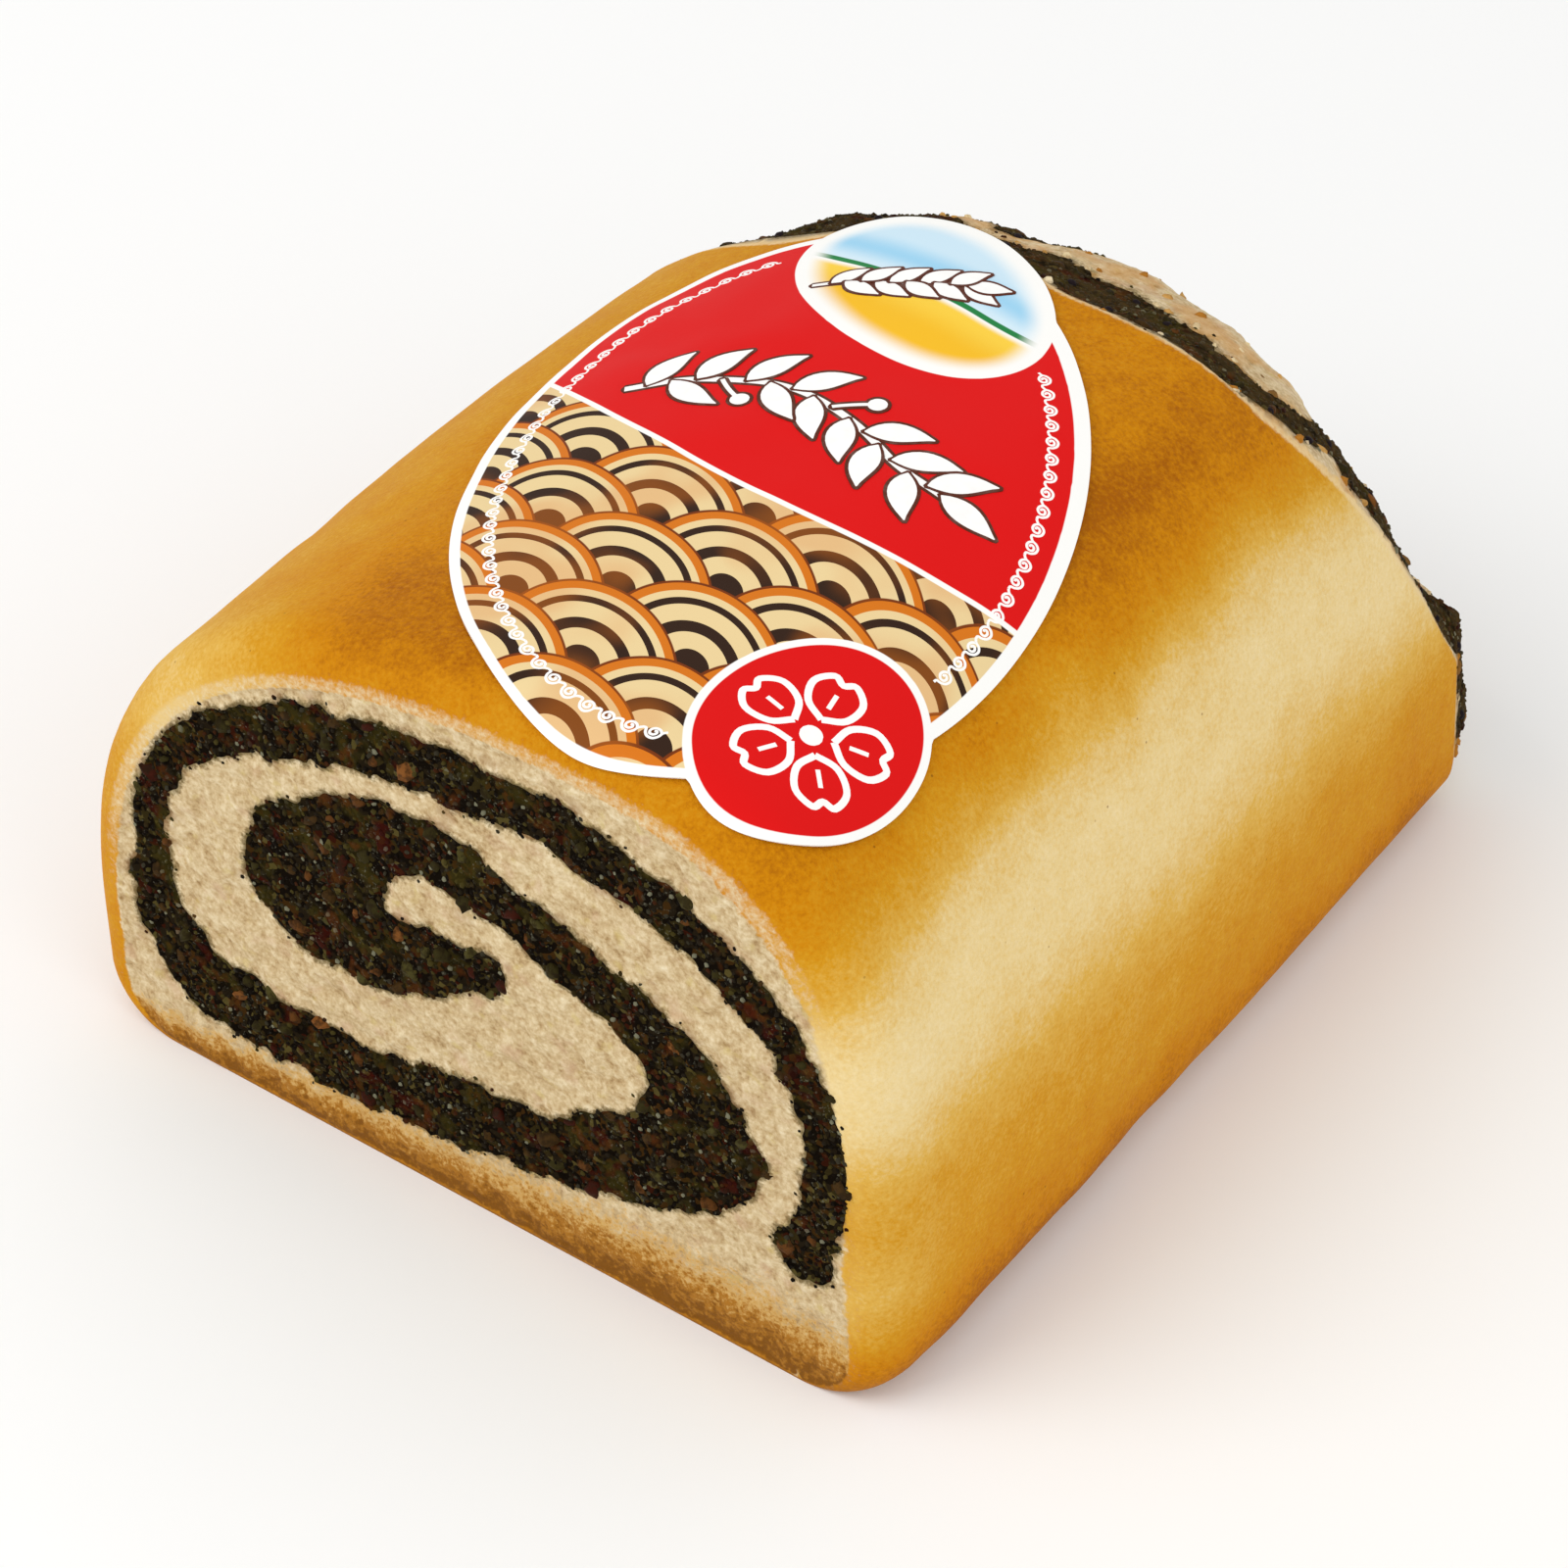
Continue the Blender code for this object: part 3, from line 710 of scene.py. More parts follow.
def makeLoaf():
    # all corners of bread and filling, worked out once for both
    curve = resampled(arch[:, :2], loaf["crustStep"])
    across = np.interp(np.arange(len(curve)) * loaf["crustStep"], arch[0, 2] - arch[:, 2], arch[:, 2])
    under = np.linspace(curve[-1, 0], curve[0, 0], int(np.ptp(curve[[0, -1], 0]) / loaf["baseStep"]))[1:-1]
    x, z = np.r_[curve[:, 0], under], np.r_[curve[:, 1], np.zeros(len(under))]
    across = np.r_[across, np.linspace(across[-1], across[-1] - 10, len(under))]
    isBase = np.arange(len(x)) >= len(curve)
    rings = [crustPoint(x, z, y) for y in loaf["rollStations"]]
    rim = sum(rimY(x, z))
    count = int(loaf["baseLength"] / loaf["crustStep"])
    for share in np.arange(1, count + 1) / count:
        rings.append(crustPoint(x, z, loaf["rollLength"] + (rim - loaf["rollLength"]) * share))
    for k, ring in enumerate(rings):
        out = planeNormals(ring[:, [0, 2]])
        shift = crustRelief(ring) * np.where(isBase, 0, 1)
        ring[:, [0, 2]] += out * shift[:, None]
    rimRing = rings[-1]
    fromFoot = np.r_[0, np.cumsum(np.linalg.norm(np.diff(rimRing[:, [0, 2]], axis=0), axis=1))]
    backEnd = BackEnd(rimRing, isBase, fromFoot)

    frontOutline = rings[0][:, [0, 2]]
    frontLoop = swirlLoop(frontOutline)
    backOutline = rimRing[:, [0, 2]]
    y = np.full(len(frontLoop), 100.0)
    for _ in range(5):
        backLoop = np.stack(swirlAt(frontLoop, y), axis=1)
        y = backEnd(*backLoop.T)
    outerEnd = smooth((backLoop[:, 0] - 38) / 2.5) * smooth((36 - backLoop[:, 1]) / 16)
    backLoop[:, 1] -= swirl["backTail"] * outerEnd
    finder = Finder(backOutline)
    tables = ("backGap", "backThin", "backCrumb", "backPacked")
    backLoop = finder.drawnOut(backLoop, *(np.interp(across, *np.array(swirl[name]).T) for name in tables))
    backLoop = finder.keptInside(raggedLoop(backLoop, backOutline, 30), swirl["leastCrust"])
    for _ in range(3):
        keep = untangled(frontLoop) & untangled(backLoop)
        frontLoop, backLoop = frontLoop[keep], backLoop[keep]

    bread, filling = Shape(), Shape()
    ringIndex = []
    for k, ring in enumerate(rings):
        ringIndex.append(bread.add(ring, across=across, along=ring[:, 1], under=isBase * 1.0, fillGap=20.0,
                                   torn=1.0 if k == len(rings) - 1 else 0.0, **edgeFields(ring, across, rim)))
    for near, far in zip(ringIndex, ringIndex[1:]):
        bread.bridge(near, far)

    # the two ends, each of crumb and filling
    ends = {}
    for front, outline, loop in ((True, frontOutline, frontLoop), (False, backOutline, backLoop)):
        inner = insidePoints(outline, loop, loaf["frontStep"] if front else loaf["backStep"])
        spots = np.concatenate([loop, inner])
        finder = Finder(outline)
        rimGap = finder.distance(spots)
        rimAcross = finder.valueAt(finder.nearest(spots), across)
        fillGap = Finder(loop).distance(spots)
        flat = np.column_stack([spots[:, 0], np.full(len(spots), 0.0 if front else 300.0), spots[:, 1]])
        grain = crumbGrain(flat)
        fade = smooth(np.minimum(rimGap, fillGap) / 0.6)
        reach = np.interp(rimAcross, *np.array(crumbLook["crustReach"]).T)
        if front:
            cut = 0.5 + 0.5 * smooth(rimGap / reach)
            crumbY = -crumbRelief(flat, grain) * fade * smooth(rimGap / reach)
            pasteY = -pasteRelief(flat, 1.0) * fade
            crumbY -= 0.25 * waves(flat, 2.4, 60) * smooth(rimGap)
            pasteY -= 0.25 * waves(flat, 2.4, 60) * smooth(rimGap)
        else:
            cut = 0.5 + 0.5 * smooth(rimGap / 0.5)
            base = backEnd(*spots.T)
            crumbY = base + 1.8 * crumbRelief(flat, grain) * fade + 0.8 * waves(flat, 5.5, 61) * smooth(rimGap / 4)
            pasteY = base + (pasteRelief(flat, 1.5) + swirl["proud"] * smooth(fillGap / 2)) * fade
            pasteY += swirl["lump"] * waves(flat, 5.5, 61) * smooth(rimGap / 4)
            edge = slice(0, len(loop))
            pasteY[edge] = crumbY[edge]
        crumbFaces, pasteFaces = endFaces(outline, loop, inner)
        offset = len(outline)
        frayed = frayedShare(rimAcross) * (1 - smooth(rimGap / 4)) if front else 0.0
        crumbPoints = np.column_stack([spots[:, 0], crumbY, spots[:, 1]])
        pastePoints = np.column_stack([spots[:, 0], pasteY, spots[:, 1]])
        if not front:
            crumbFaces, pasteFaces = crumbFaces[:, ::-1], pasteFaces[:, ::-1]
        breadIndex = bread.add(crumbPoints, cut=cut, fillGap=fillGap, torn=0.0 if front else 1.0, grain=grain,
                               across=rimAcross, along=crumbY, behind=0.0 if front else rimShare(rimAcross),
                               frayed=frayed, toast=toastAt(crumbPoints) if front else -1.0)
        index = np.r_[ringIndex[0 if front else -1], breadIndex]
        bread.faces.append(index[crumbFaces])
        pasteIndex = filling.add(pastePoints, torn=0.0 if front else 1.0)
        index = np.r_[np.zeros(offset, int), pasteIndex]
        filling.faces.append(index[pasteFaces])
        crumbFaces = crumbFaces[crumbFaces.min(axis=1) >= offset] - offset
        ends[front] = {"breadLoop": breadIndex[:len(loop)], "pasteLoop": pasteIndex[:len(loop)],
                       "paste": (pastePoints, pasteFaces - offset), "crumb": (crumbPoints, crumbFaces),
                       "besideFilling": (crumbPoints, crumbFaces[fillGap[crumbFaces].max(axis=1) < 1.0])}

    # the filling's channel through the bread
    nearBread, nearPaste = ends[True]["breadLoop"], ends[True]["pasteLoop"]
    for station in swirl["stations"]:
        px, pz = swirlAt(frontLoop, np.full(len(frontLoop), station))
        wall = np.column_stack([px, np.full(len(px), station), pz])
        farBread, farPaste = bread.add(wall, fillGap=0.0), filling.add(wall)
        bread.bridge(farBread, nearBread)
        filling.bridge(nearPaste, farPaste)
        nearBread, nearPaste = farBread, farPaste
    bread.bridge(ends[False]["breadLoop"], nearBread)
    filling.bridge(nearPaste, ends[False]["pasteLoop"])
    return bread, filling, ends


# How brown the crust is, 0 pale to 1 dark, by the way across from the crest; its pale dip from 38 to 68 across, down
# the right shoulder, is partly less baked crust and partly a painted highlight
crust = {
    "browningWithPaintedHighlight": [(-121, 0.84), (-112, 0.72), (-78, 0.66), (-60, 0.64), (-45, 0.66), (-28, 0.8), (0, 0.8), (24, 0.84),
                 (32, 0.74), (38, 0.52), (43, 0.26), (49, 0.13), (56, 0.15), (62, 0.28), (68, 0.46), (75, 0.6),
                 (88, 0.7), (96, 0.86), (105, 0.96)],
    # across, along, half width, half length, change
    "patches": [(25, 62, 8, 16, 0.16), (20, 92, 14, 6, 0.04), (40, 90, 10, 12, 0.12), (80, 104, 10, 9, 0.08),
                (84, 70, 12, 20, 0.02), (50, 4, 10, 7, -0.04), (-24, 8, 16, 12, 0.12), (-62, 0, 12, 9, -0.28),
                (-46, 3, 10, 6, -0.12), (56, 100, 14, 16, -0.05), (86, 0, 9, 9, -0.26), (96, 24, 8, 22, 0.2),
                (86, 46, 6, 8, -0.05), (-14, 0, 34, 3, -0.06)],
    "stops": [(0.0, paint(240, 217, 164)), (0.16, paint(234, 206, 143)), (0.4, paint(222, 176, 78)),
              (0.62, paint(210, 149, 28)), (0.8, paint(202, 129, 3)), (1.0, paint(164, 92, 1))],
    "frayed": paint(232, 213, 170),
    "rimPale": paint(236, 208, 156),
    # how pale its rims are at the front cut and at the back, by the way across
    "frayedShare": [(-98, 0.15), (-80, 0.5), (30, 0.5), (50, 0.2)],
    "rimShare": [(-66, 0.3), (-44, 0.9), (60, 0.9), (76, 0.3), (104, 0.1)],
    "toast": paint(170, 114, 38),
    "toastDark": paint(118, 72, 18),
    "toastPale": paint(210, 166, 92),
}


def browningOf(shape):
    # adds how brown the crust is to every block that lies on it, with the painted highlight down the right shoulder
    for points, fields in zip(shape.points, shape.fields):
        if "across" not in fields:
            continue
        at = fields["across"] + 2.6 * waves(points, 26.0, 90) + 1.2 * waves(points, 11.0, 91)
        brown = np.interp(at, *np.array(crust["browningWithPaintedHighlight"]).T)
        for across, along, halfWidth, halfLength, change in crust["patches"]:
            far = ((at - across) / halfWidth) ** 2 + ((fields["along"] - along) / halfLength) ** 2
            brown = brown + change * np.exp(-far)
        fields["browned"] = brown


def crustColour(bread, speckled):
    # golden skin with fine grain and a few dark specks, paler towards both rims, and paler down the right shoulder,
    # partly less baked and partly a painted highlight
    brown = bread.field("browned") + (bread.noise(9, 3) - 0.5) * 0.2
    brown = brown + (bread.noise(2.8, 3, 0.6, shift=5) - 0.5) * 0.2 + (speckled - 0.5) * 0.44
    skin = bread.ramp(brown, crust["stops"], "LINEAR")
    dots = (1 - bread.cells(2.6).step(0.03, 0.075)) * bread.noise(6, 1, shift=9).step(0.48, 0.62)
    skin = bread.mix(dots * 0.6, skin, paint(116, 66, 12))
    skin = bread.mix(bread.field("under"), skin, paint(158, 98, 26))
    foot = (bread.field("toast") + (speckled - 0.5) * 0.5).step(0.45, 1.05) * 0.65
    skin = bread.mix(foot, skin, crust["toast"])
    behind = (bread.field("behind") + (speckled - 0.5) * 0.7).step(0.55, 0.95)
    skin = bread.mix(behind * 0.85, skin, crust["rimPale"])
    frayed = (bread.field("frayed") + (speckled - 0.5) * 0.9).step(0.2, 0.8)
    return bread.mix(frayed, skin, crust["frayed"])


def crumbColour(bread, speckled):
    # pale crumbs with painted highlights on their tops and painted shade in the pores between them, with olive and pink
    # flecks, soaked beside the filling
    mottled = bread.noise(2.4, 3, 0.55)
    # the crumbs' height lightens their tops and darkens the pores between them: painted highlight and painted shade,
    # mixed with random tone
    light = bread.field("grain") * 0.2 + speckled * 0.6 + mottled * 0.3
    crumb = bread.ramp(light, [
        (0.28, paint(150, 118, 74)), (0.41, paint(190, 161, 116)), (0.52, paint(210, 186, 143)),
        (0.64, paint(227, 207, 168)), (0.8, paint(241, 228, 198))], "LINEAR")
    olive = bread.noise(2.2, 2, shift=31).step(0.58, 0.74)
    crumb = bread.mix(olive * 0.5, crumb, paint(204, 180, 108))
    pink = bread.noise(3.6, 2, shift=57).step(0.54, 0.75)
    crumb = bread.mix(pink * 0.45, crumb, paint(204, 166, 136))
    fillGap = bread.field("fillGap")
    soak = (1 - (fillGap + (speckled - 0.5) * 1.8).step(0.05, 0.8)) * 0.8
    crumb = bread.mix(soak, crumb, paint(100, 84, 46))
    stain = (1 - (fillGap / 3).step(0.0, 1.0)) * bread.noise(4.5, 2, shift=71).step(0.58, 0.7)
    crumb = bread.mix(stain * 0.6, crumb, paint(146, 108, 70))

    # the toasted band over the base, grain by grain
    coarse = bread.noise(0.8, 3, 0.75, shift=23)
    toast = bread.field("toast") + (mottled - 0.5) * 0.5 + (coarse - 0.5) * 1.3 + (speckled - 0.5) * 0.8
    crumb = bread.mix(toast.step(-0.1, 0.3) * 0.9, crumb, crust["toastPale"])
    crumb = bread.mix(toast.step(0.2, 0.55), crumb, crust["toast"])
    # the darkest toast lies in the pores between the crumbs, partly painted shade there
    dark = (toast - bread.field("grain") * 0.3).step(0.45, 0.8)
    crumb = bread.mix(dark * 0.8, crumb, crust["toastDark"])
    torn = bread.field("torn") * bread.noise(7, 3, 0.6, shift=44).step(0.44, 0.62)
    return bread.mix(torn * 0.55, crumb, paint(206, 150, 74))


def breadFinish():
    bread = Finish("bakedDough", 0.6, specular=0.06)
    speckled = bread.noise(0.55, 3, 0.65, shift=12)
    frays = (speckled - 0.5) * 0.4 + (bread.noise(1.7, 2, shift=3) - 0.5) * 0.5
    cut = (bread.field("cut") + frays).step(0.64, 0.88)
    colour = bread.mix(cut, crustColour(bread, speckled), crumbColour(bread, speckled))
    bread.set("Base Color", colour)
    fine = bread.noise(0.45, 3, 0.6)
    bread.set("Normal", bread.bump(fine, 0.16, bread.bump(bread.noise(1.6, 2), 0.1)))
    return bread.material


def speckledDark(finish, colour):
    # olive, brown and dark red patches a few mm wide, and fine pale painted glints, browner where it is torn
    torn = finish.field("torn") * finish.noise(3.2, 3, 0.6, shift=52).step(0.3, 0.6)
    colour = finish.mix(torn * 0.45, colour, paint(92, 74, 44))
    colour = finish.mix(finish.noise(4.5, 2, shift=15).step(0.54, 0.68) * 0.55, colour, paint(62, 54, 18))
    colour = finish.mix(finish.noise(3.6, 2, shift=38).step(0.6, 0.7) * 0.6, colour, paint(84, 46, 18))
    colour = finish.mix(finish.noise(4.1, 2, shift=66).step(0.62, 0.72) * 0.6, colour, paint(64, 18, 12))
    # painted glints: fine pale specks that stand in for highlights
    paintedGlint = finish.noise(0.42, 2, 0.6, shift=81).step(0.6, 0.72) * finish.noise(2.6, 1, shift=92).step(0.4, 0.6)
    return finish.mix(paintedGlint * 0.55, colour, paint(118, 116, 98))


def fillingFinish():
    paste = Finish("poppyFilling", 0.6, specular=0.0)
    tone = paste.cells(0.7, output=1)
    shade = paste.node("ShaderNodeSeparateColor", {}, {0: tone})
    colour = paste.ramp(shade, [
        (0.0, paint(20, 15, 10)), (0.4, paint(34, 27, 17)), (0.6, paint(48, 40, 19)), (0.76, paint(58, 38, 15)),
        (0.88, paint(50, 21, 11)), (0.95, paint(80, 70, 36))], "CONSTANT")
    paste.set("Base Color", speckledDark(paste, colour))
    paste.set("Normal", paste.bump(paste.noise(0.35, 2, 0.6), 0.12))
    return paste.material


# The sticker, laid out on the crust: across from the crest, along from the cut, two half axes and a turn
sticker = {
    "main": (-6.2, 45.8, 32.0, 47.0, 23.6),
    "disc": (-11.8, 81.0, 18.9, 12.4, -27.0),
    "oval": (19.7, 15.9, 11.2, 13.7, -7.5),
    "print": (-6.35, 45.5, 30.5, 45.9, 23.6),  # the printed field of the main oval, in its white border
    "thickness": 0.3,
    "gap": 0.3,
    "step": 0.7,
    "smallBorder": 0.9,
    "dividerLow": (5.0, 40.2),
    "dividerBend": 0.0052,
    "scaleRadius": 11.0,
}


def ellipse(shape, count=360):
    across, along, halfA, halfB, turn = shape
    angles = np.linspace(0, math.tau, count, endpoint=False)
    u, v = halfA * np.cos(angles), halfB * np.sin(angles)
    c, s = math.cos(math.radians(turn)), math.sin(math.radians(turn))
    return np.stack([across + u * c - v * s, along + u * s + v * c], axis=1)


def ellipseLevel(shape, points):
    # under 1 inside an ellipse, over 1 outside
    across, along, halfA, halfB, turn = shape
    c, s = math.cos(math.radians(turn)), math.sin(math.radians(turn))
    x, y = points[:, 0] - across, points[:, 1] - along
    return np.hypot((x * c + y * s) / halfA, (-x * s + y * c) / halfB)


def insideDistance(shape, points):
    # how far inside an ellipse's edge points lie, below 0 outside
    away = Finder(ellipse(shape, 720)).distance(points)
    return np.where(ellipseLevel(shape, points) < 1, away, -away)


def stickerOutline():
    # the joined outline of the three ovals
    shapes = [sticker["main"], sticker["disc"], sticker["oval"]]
    result = geometry.delaunay_2d_cdt([Vector(p) for s in shapes for p in ellipse(s, 240)], [],
                                      [list(range(240 * k, 240 * k + 240)) for k in range(3)], 1, 1e-6)
    sides = {}
    for face in result[2]:
        for a, b in zip(face, face[1:] + face[:1]):
            key = (min(a, b), max(a, b))
            sides[key] = None if key in sides else (a, b)
    following = dict(side for side in sides.values() if side)
    at = next(iter(following))
    walk = []
    for _ in range(len(following)):
        walk.append(result[0][at])
        at = following[at]
    return resampled(np.array([tuple(p) for p in walk]), sticker["step"], closed=True)


def makeSticker():
    outline = stickerOutline()
    low, high = outline.min(axis=0), outline.max(axis=0)
    step = sticker["step"]
    columns, rows = np.meshgrid(np.arange(low[0], high[0], step), np.arange(low[1], high[1], step * 0.866))
    columns[1::2] += step / 2
    inner = np.stack([columns.ravel(), rows.ravel()], axis=1)
    inner = inner[Finder(outline).distance(inner) > step * 0.45]
    corners = [Vector(p) for p in np.concatenate([outline, inner])]
    result = geometry.delaunay_2d_cdt(corners, [], [list(range(len(outline)))], 1, 1e-7)
    faces = np.array([[result[3][i][0] for i in face] for face in result[2]])
    spots = np.concatenate([outline, inner])
    fields = {name + "Gap": insideDistance(sticker[name], spots) for name in ("print", "disc", "oval")}
    fields.update(across=spots[:, 0], along=spots[:, 1])
    shape = Shape()
    top = shape.add(onSticker(spots, 0), **fields)
    bottom = shape.add(onSticker(spots, -sticker["thickness"]), **fields)
    shape.faces.append(top[faces])
    shape.faces.append(bottom[faces[:, ::-1]])
    edge = np.arange(len(outline))
    shape.bridge(top[edge], bottom[edge])
    return shape


def onSticker(spots, lift):
    # places on the sticker's face, or above it, by the way across and along
    flat = np.column_stack([spots, np.zeros(len(spots))])
    ripple = 0.03 * waves(flat, 9.0, 80) + 0.015 * waves(flat, 4.0, 81)
    return liftedCrust(spots[:, 0], spots[:, 1], sticker["gap"] + sticker["thickness"] + ripple + lift)


# The white and brown print, laid on the sticker as thin flat strips
motif = {
    "lift": 0.015,             # each strip lies this much over the one before
    "sunk": 0.02,              # and they all reach this far into the paper
    "column": 0.7,             # the widest flat stretch across a strip
    # the running scroll, a wave and the spiral that leaves it: ahead along the border and inward
    "wave": [(-1.28, 0.36), (-0.9, 0.3), (-0.8, -0.15), (-0.45, -0.58), (0.15, -0.7), (0.62, -0.4), (0.86, 0.08),
             (1.28, 0.36)],
    "spiral": [(0.8, 0.0), (0.5, 0.4), (0.0, 0.5), (-0.4, 0.2), (-0.36, -0.2), (0.02, -0.3), (0.3, -0.08),
               (0.22, 0.16), (0.0, 0.14)],
    "scrollInset": 4.2,
    "scrollPitch": 2.55,
    "scrollStroke": 0.28,
    "scrollClear": 2.3,
    "edge": 0.4,               # how far the brown shows round the white
    "stem": [(-28.5, 50.0), (-21.0, 54.6), (-12.0, 57.0), (-3.0, 55.4), (5.0, 52.0), (11.0, 51.0)],
    "leaf": {"length": 7.4, "width": 3.0, "angle": 46, "every": 5.4, "first": 2.5, "bend": 14, "stem": 0.9},
    "berries": (3, 8),         # which of the leaves are berries instead
    "berry": 1.05,
    "ear": [(-22.6, 75.4), (-16.8, 78.7), (-10.8, 81.7), (-7.4, 83.4)],
    "kernel": {"length": 4.8, "width": 2.2, "angle": 36, "every": 3.2, "first": 2.2, "bend": 8, "stem": 0.6},
    "petal": [(2.3, 0.0), (3.7, -2.1), (6.3, -2.7), (8.0, -1.2), (7.4, 0.0), (8.0, 1.2), (6.3, 2.7), (3.7, 2.1),
              (2.3, 0.0)],
    "petals": 5,
    "petalStroke": 0.75,
    "vein": (3.9, 5.9, 0.5),   # from, to, width
    "flowerMiddle": 1.2,
}


def stroke(shape, line, width, lift):
    # a thin closed strip along a line, as wide at each point as told
    width = np.broadcast_to(width, len(line))
    columns = max(2, math.ceil(width.max() / motif["column"]) + 1)
    side = planeNormals(line, closed=False) * width[:, None] / 2
    shares = np.linspace(-1, 1, columns)
    rails = [shape.add(onSticker(line + side * share, lift)) for share in shares]
    rails += [shape.add(onSticker(line + side * share, -motif["sunk"])) for share in shares[::-1]]
    for near, far in zip(rails, rails[1:] + rails[:1]):
        shape.bridge(near, far, closed=False)
    shape.faces.append(np.array([[rail[0] for rail in rails[::-1]]]))
    shape.faces.append(np.array([[rail[-1] for rail in rails]]))


def edgedStroke(white, brown, line, width, level):
    # a white strip on a slightly larger brown one with pointed ends, over those of lower levels
    edge = motif["edge"]
    width = np.broadcast_to(width, len(line))
    ahead, behind = line[-1] - line[-2], line[0] - line[1]
    longer = np.concatenate([line[:1] + behind / np.linalg.norm(behind) * edge, line,
                             line[-1:] + ahead / np.linalg.norm(ahead) * edge])
    stroke(brown, longer, np.r_[edge, width + 2 * edge, edge], (2 * level + 1) * motif["lift"])
    stroke(white, line, width, (2 * level + 2) * motif["lift"])


def leafLine(foot, heading, form, side):
    # the middle line of a leaf on one side of its stem, slightly bent; side 0 runs straight on
    turned = np.radians(heading + side * (form["angle"] - form["bend"] * np.linspace(-1, 1, 12)))
    steps = np.stack([np.cos(turned), np.sin(turned)], axis=1) * form["length"] / 11
    return foot + np.concatenate([np.zeros((1, 2)), np.cumsum(steps[:-1], axis=0)])


def sprig(white, brown, rows, form, berries=()):
    # leaves in turn on both sides of a stem, and one at its tip
    stem = resampled(curveThrough(rows, 10), 0.3)
    edgedStroke(white, brown, stem, form["stem"], 0)
    width = np.maximum(form["width"] * np.sin(math.pi * np.linspace(0, 1, 12) ** 0.8), 0.12)
    every = form["every"] / 2 / 0.3
    feet = (form["first"] / 0.3 + every * np.arange(99)).astype(int)
    last = len(stem) - 2
    for order, at in enumerate([*feet[feet < last], last]):
        heading = math.degrees(math.atan2(*(stem[at + 1] - stem[at])[::-1]))
        side = 0 if at == last else (1, -1)[order % 2]
        level = 1 + order % 3
        line = leafLine(stem[at], heading, form, side)
        if order in berries:
            edgedStroke(white, brown, line[:7], 0.5, level)
            dot(brown, line[7], motif["berry"] + motif["edge"], (2 * level + 1) * motif["lift"])
            dot(white, line[7], motif["berry"], (2 * level + 2) * motif["lift"])
        else:
            edgedStroke(white, brown, line, width, level)


def dot(shape, centre, radius, lift):
    share = np.linspace(-0.98, 0.98, 11)
    line = centre + np.stack([share * radius, 0 * share], axis=1)
    stroke(shape, line, 2 * radius * np.sqrt(1 - share ** 2), lift)


def scrolls(white):
    # a running scroll inside the white border, left out where the disc and the small oval lie
    main = sticker["main"]
    inset = motif["scrollInset"]
    around = resampled(ellipse((*main[:2], main[2] - inset, main[3] - inset, main[4]), 1440), 0.1, closed=True)
    count = int(round(len(around) * 0.1 / motif["scrollPitch"]))
    lines = [curveThrough(motif[name], 4) for name in ("wave", "spiral")]
    for k in range(count):
        at = int(k * len(around) / count)
        centre, ahead = around[at], around[(at + 5) % len(around)] - around[at - 5]
        clear = [ellipseLevel((*s[:2], s[2] + motif["scrollClear"], s[3] + motif["scrollClear"], s[4]),
                              centre[None])[0] for s in (sticker["disc"], sticker["oval"])]
        if min(clear) > 1:
            ahead /= np.linalg.norm(ahead)
            inward = np.array([-ahead[1], ahead[0]])
            for line in lines:
                stroke(white, centre + line[:, :1] * ahead + line[:, 1:] * inward, motif["scrollStroke"],
                       motif["lift"])


def blossom(white):
    # a flower of open petals with a round middle, in the small oval
    centre = np.array(sticker["oval"][:2])
    start, end, width = motif["vein"]
    for k in range(motif["petals"]):
        turn = math.tau * k / motif["petals"] + 0.5
        spin = np.array([[math.cos(turn), math.sin(turn)], [-math.sin(turn), math.cos(turn)]])
        stroke(white, centre + curveThrough(motif["petal"], 5) @ spin, motif["petalStroke"], motif["lift"])
        stroke(white, centre + spin[:1] * np.linspace(start, end, 4)[:, None], width, motif["lift"])
    dot(white, centre, motif["flowerMiddle"], motif["lift"])


def makePrint():
    white, brown = Shape(), Shape()
    scrolls(white)
    blossom(white)
    sprig(white, brown, motif["stem"], motif["leaf"], motif["berries"])
    sprig(white, brown, motif["ear"], motif["kernel"])
    return white, brown


def printFinish(name, colour):
    ink = Finish(name, 0.45, specular=0.05)
    ink.set("Base Color", ink.mix(ink.noise(1.2, 2).step(0.4, 0.9) * 0.12, colour, paint(206, 196, 186)))
    ink.set("Normal", ink.bump(ink.noise(0.5, 2), 0.01))
    return ink.material


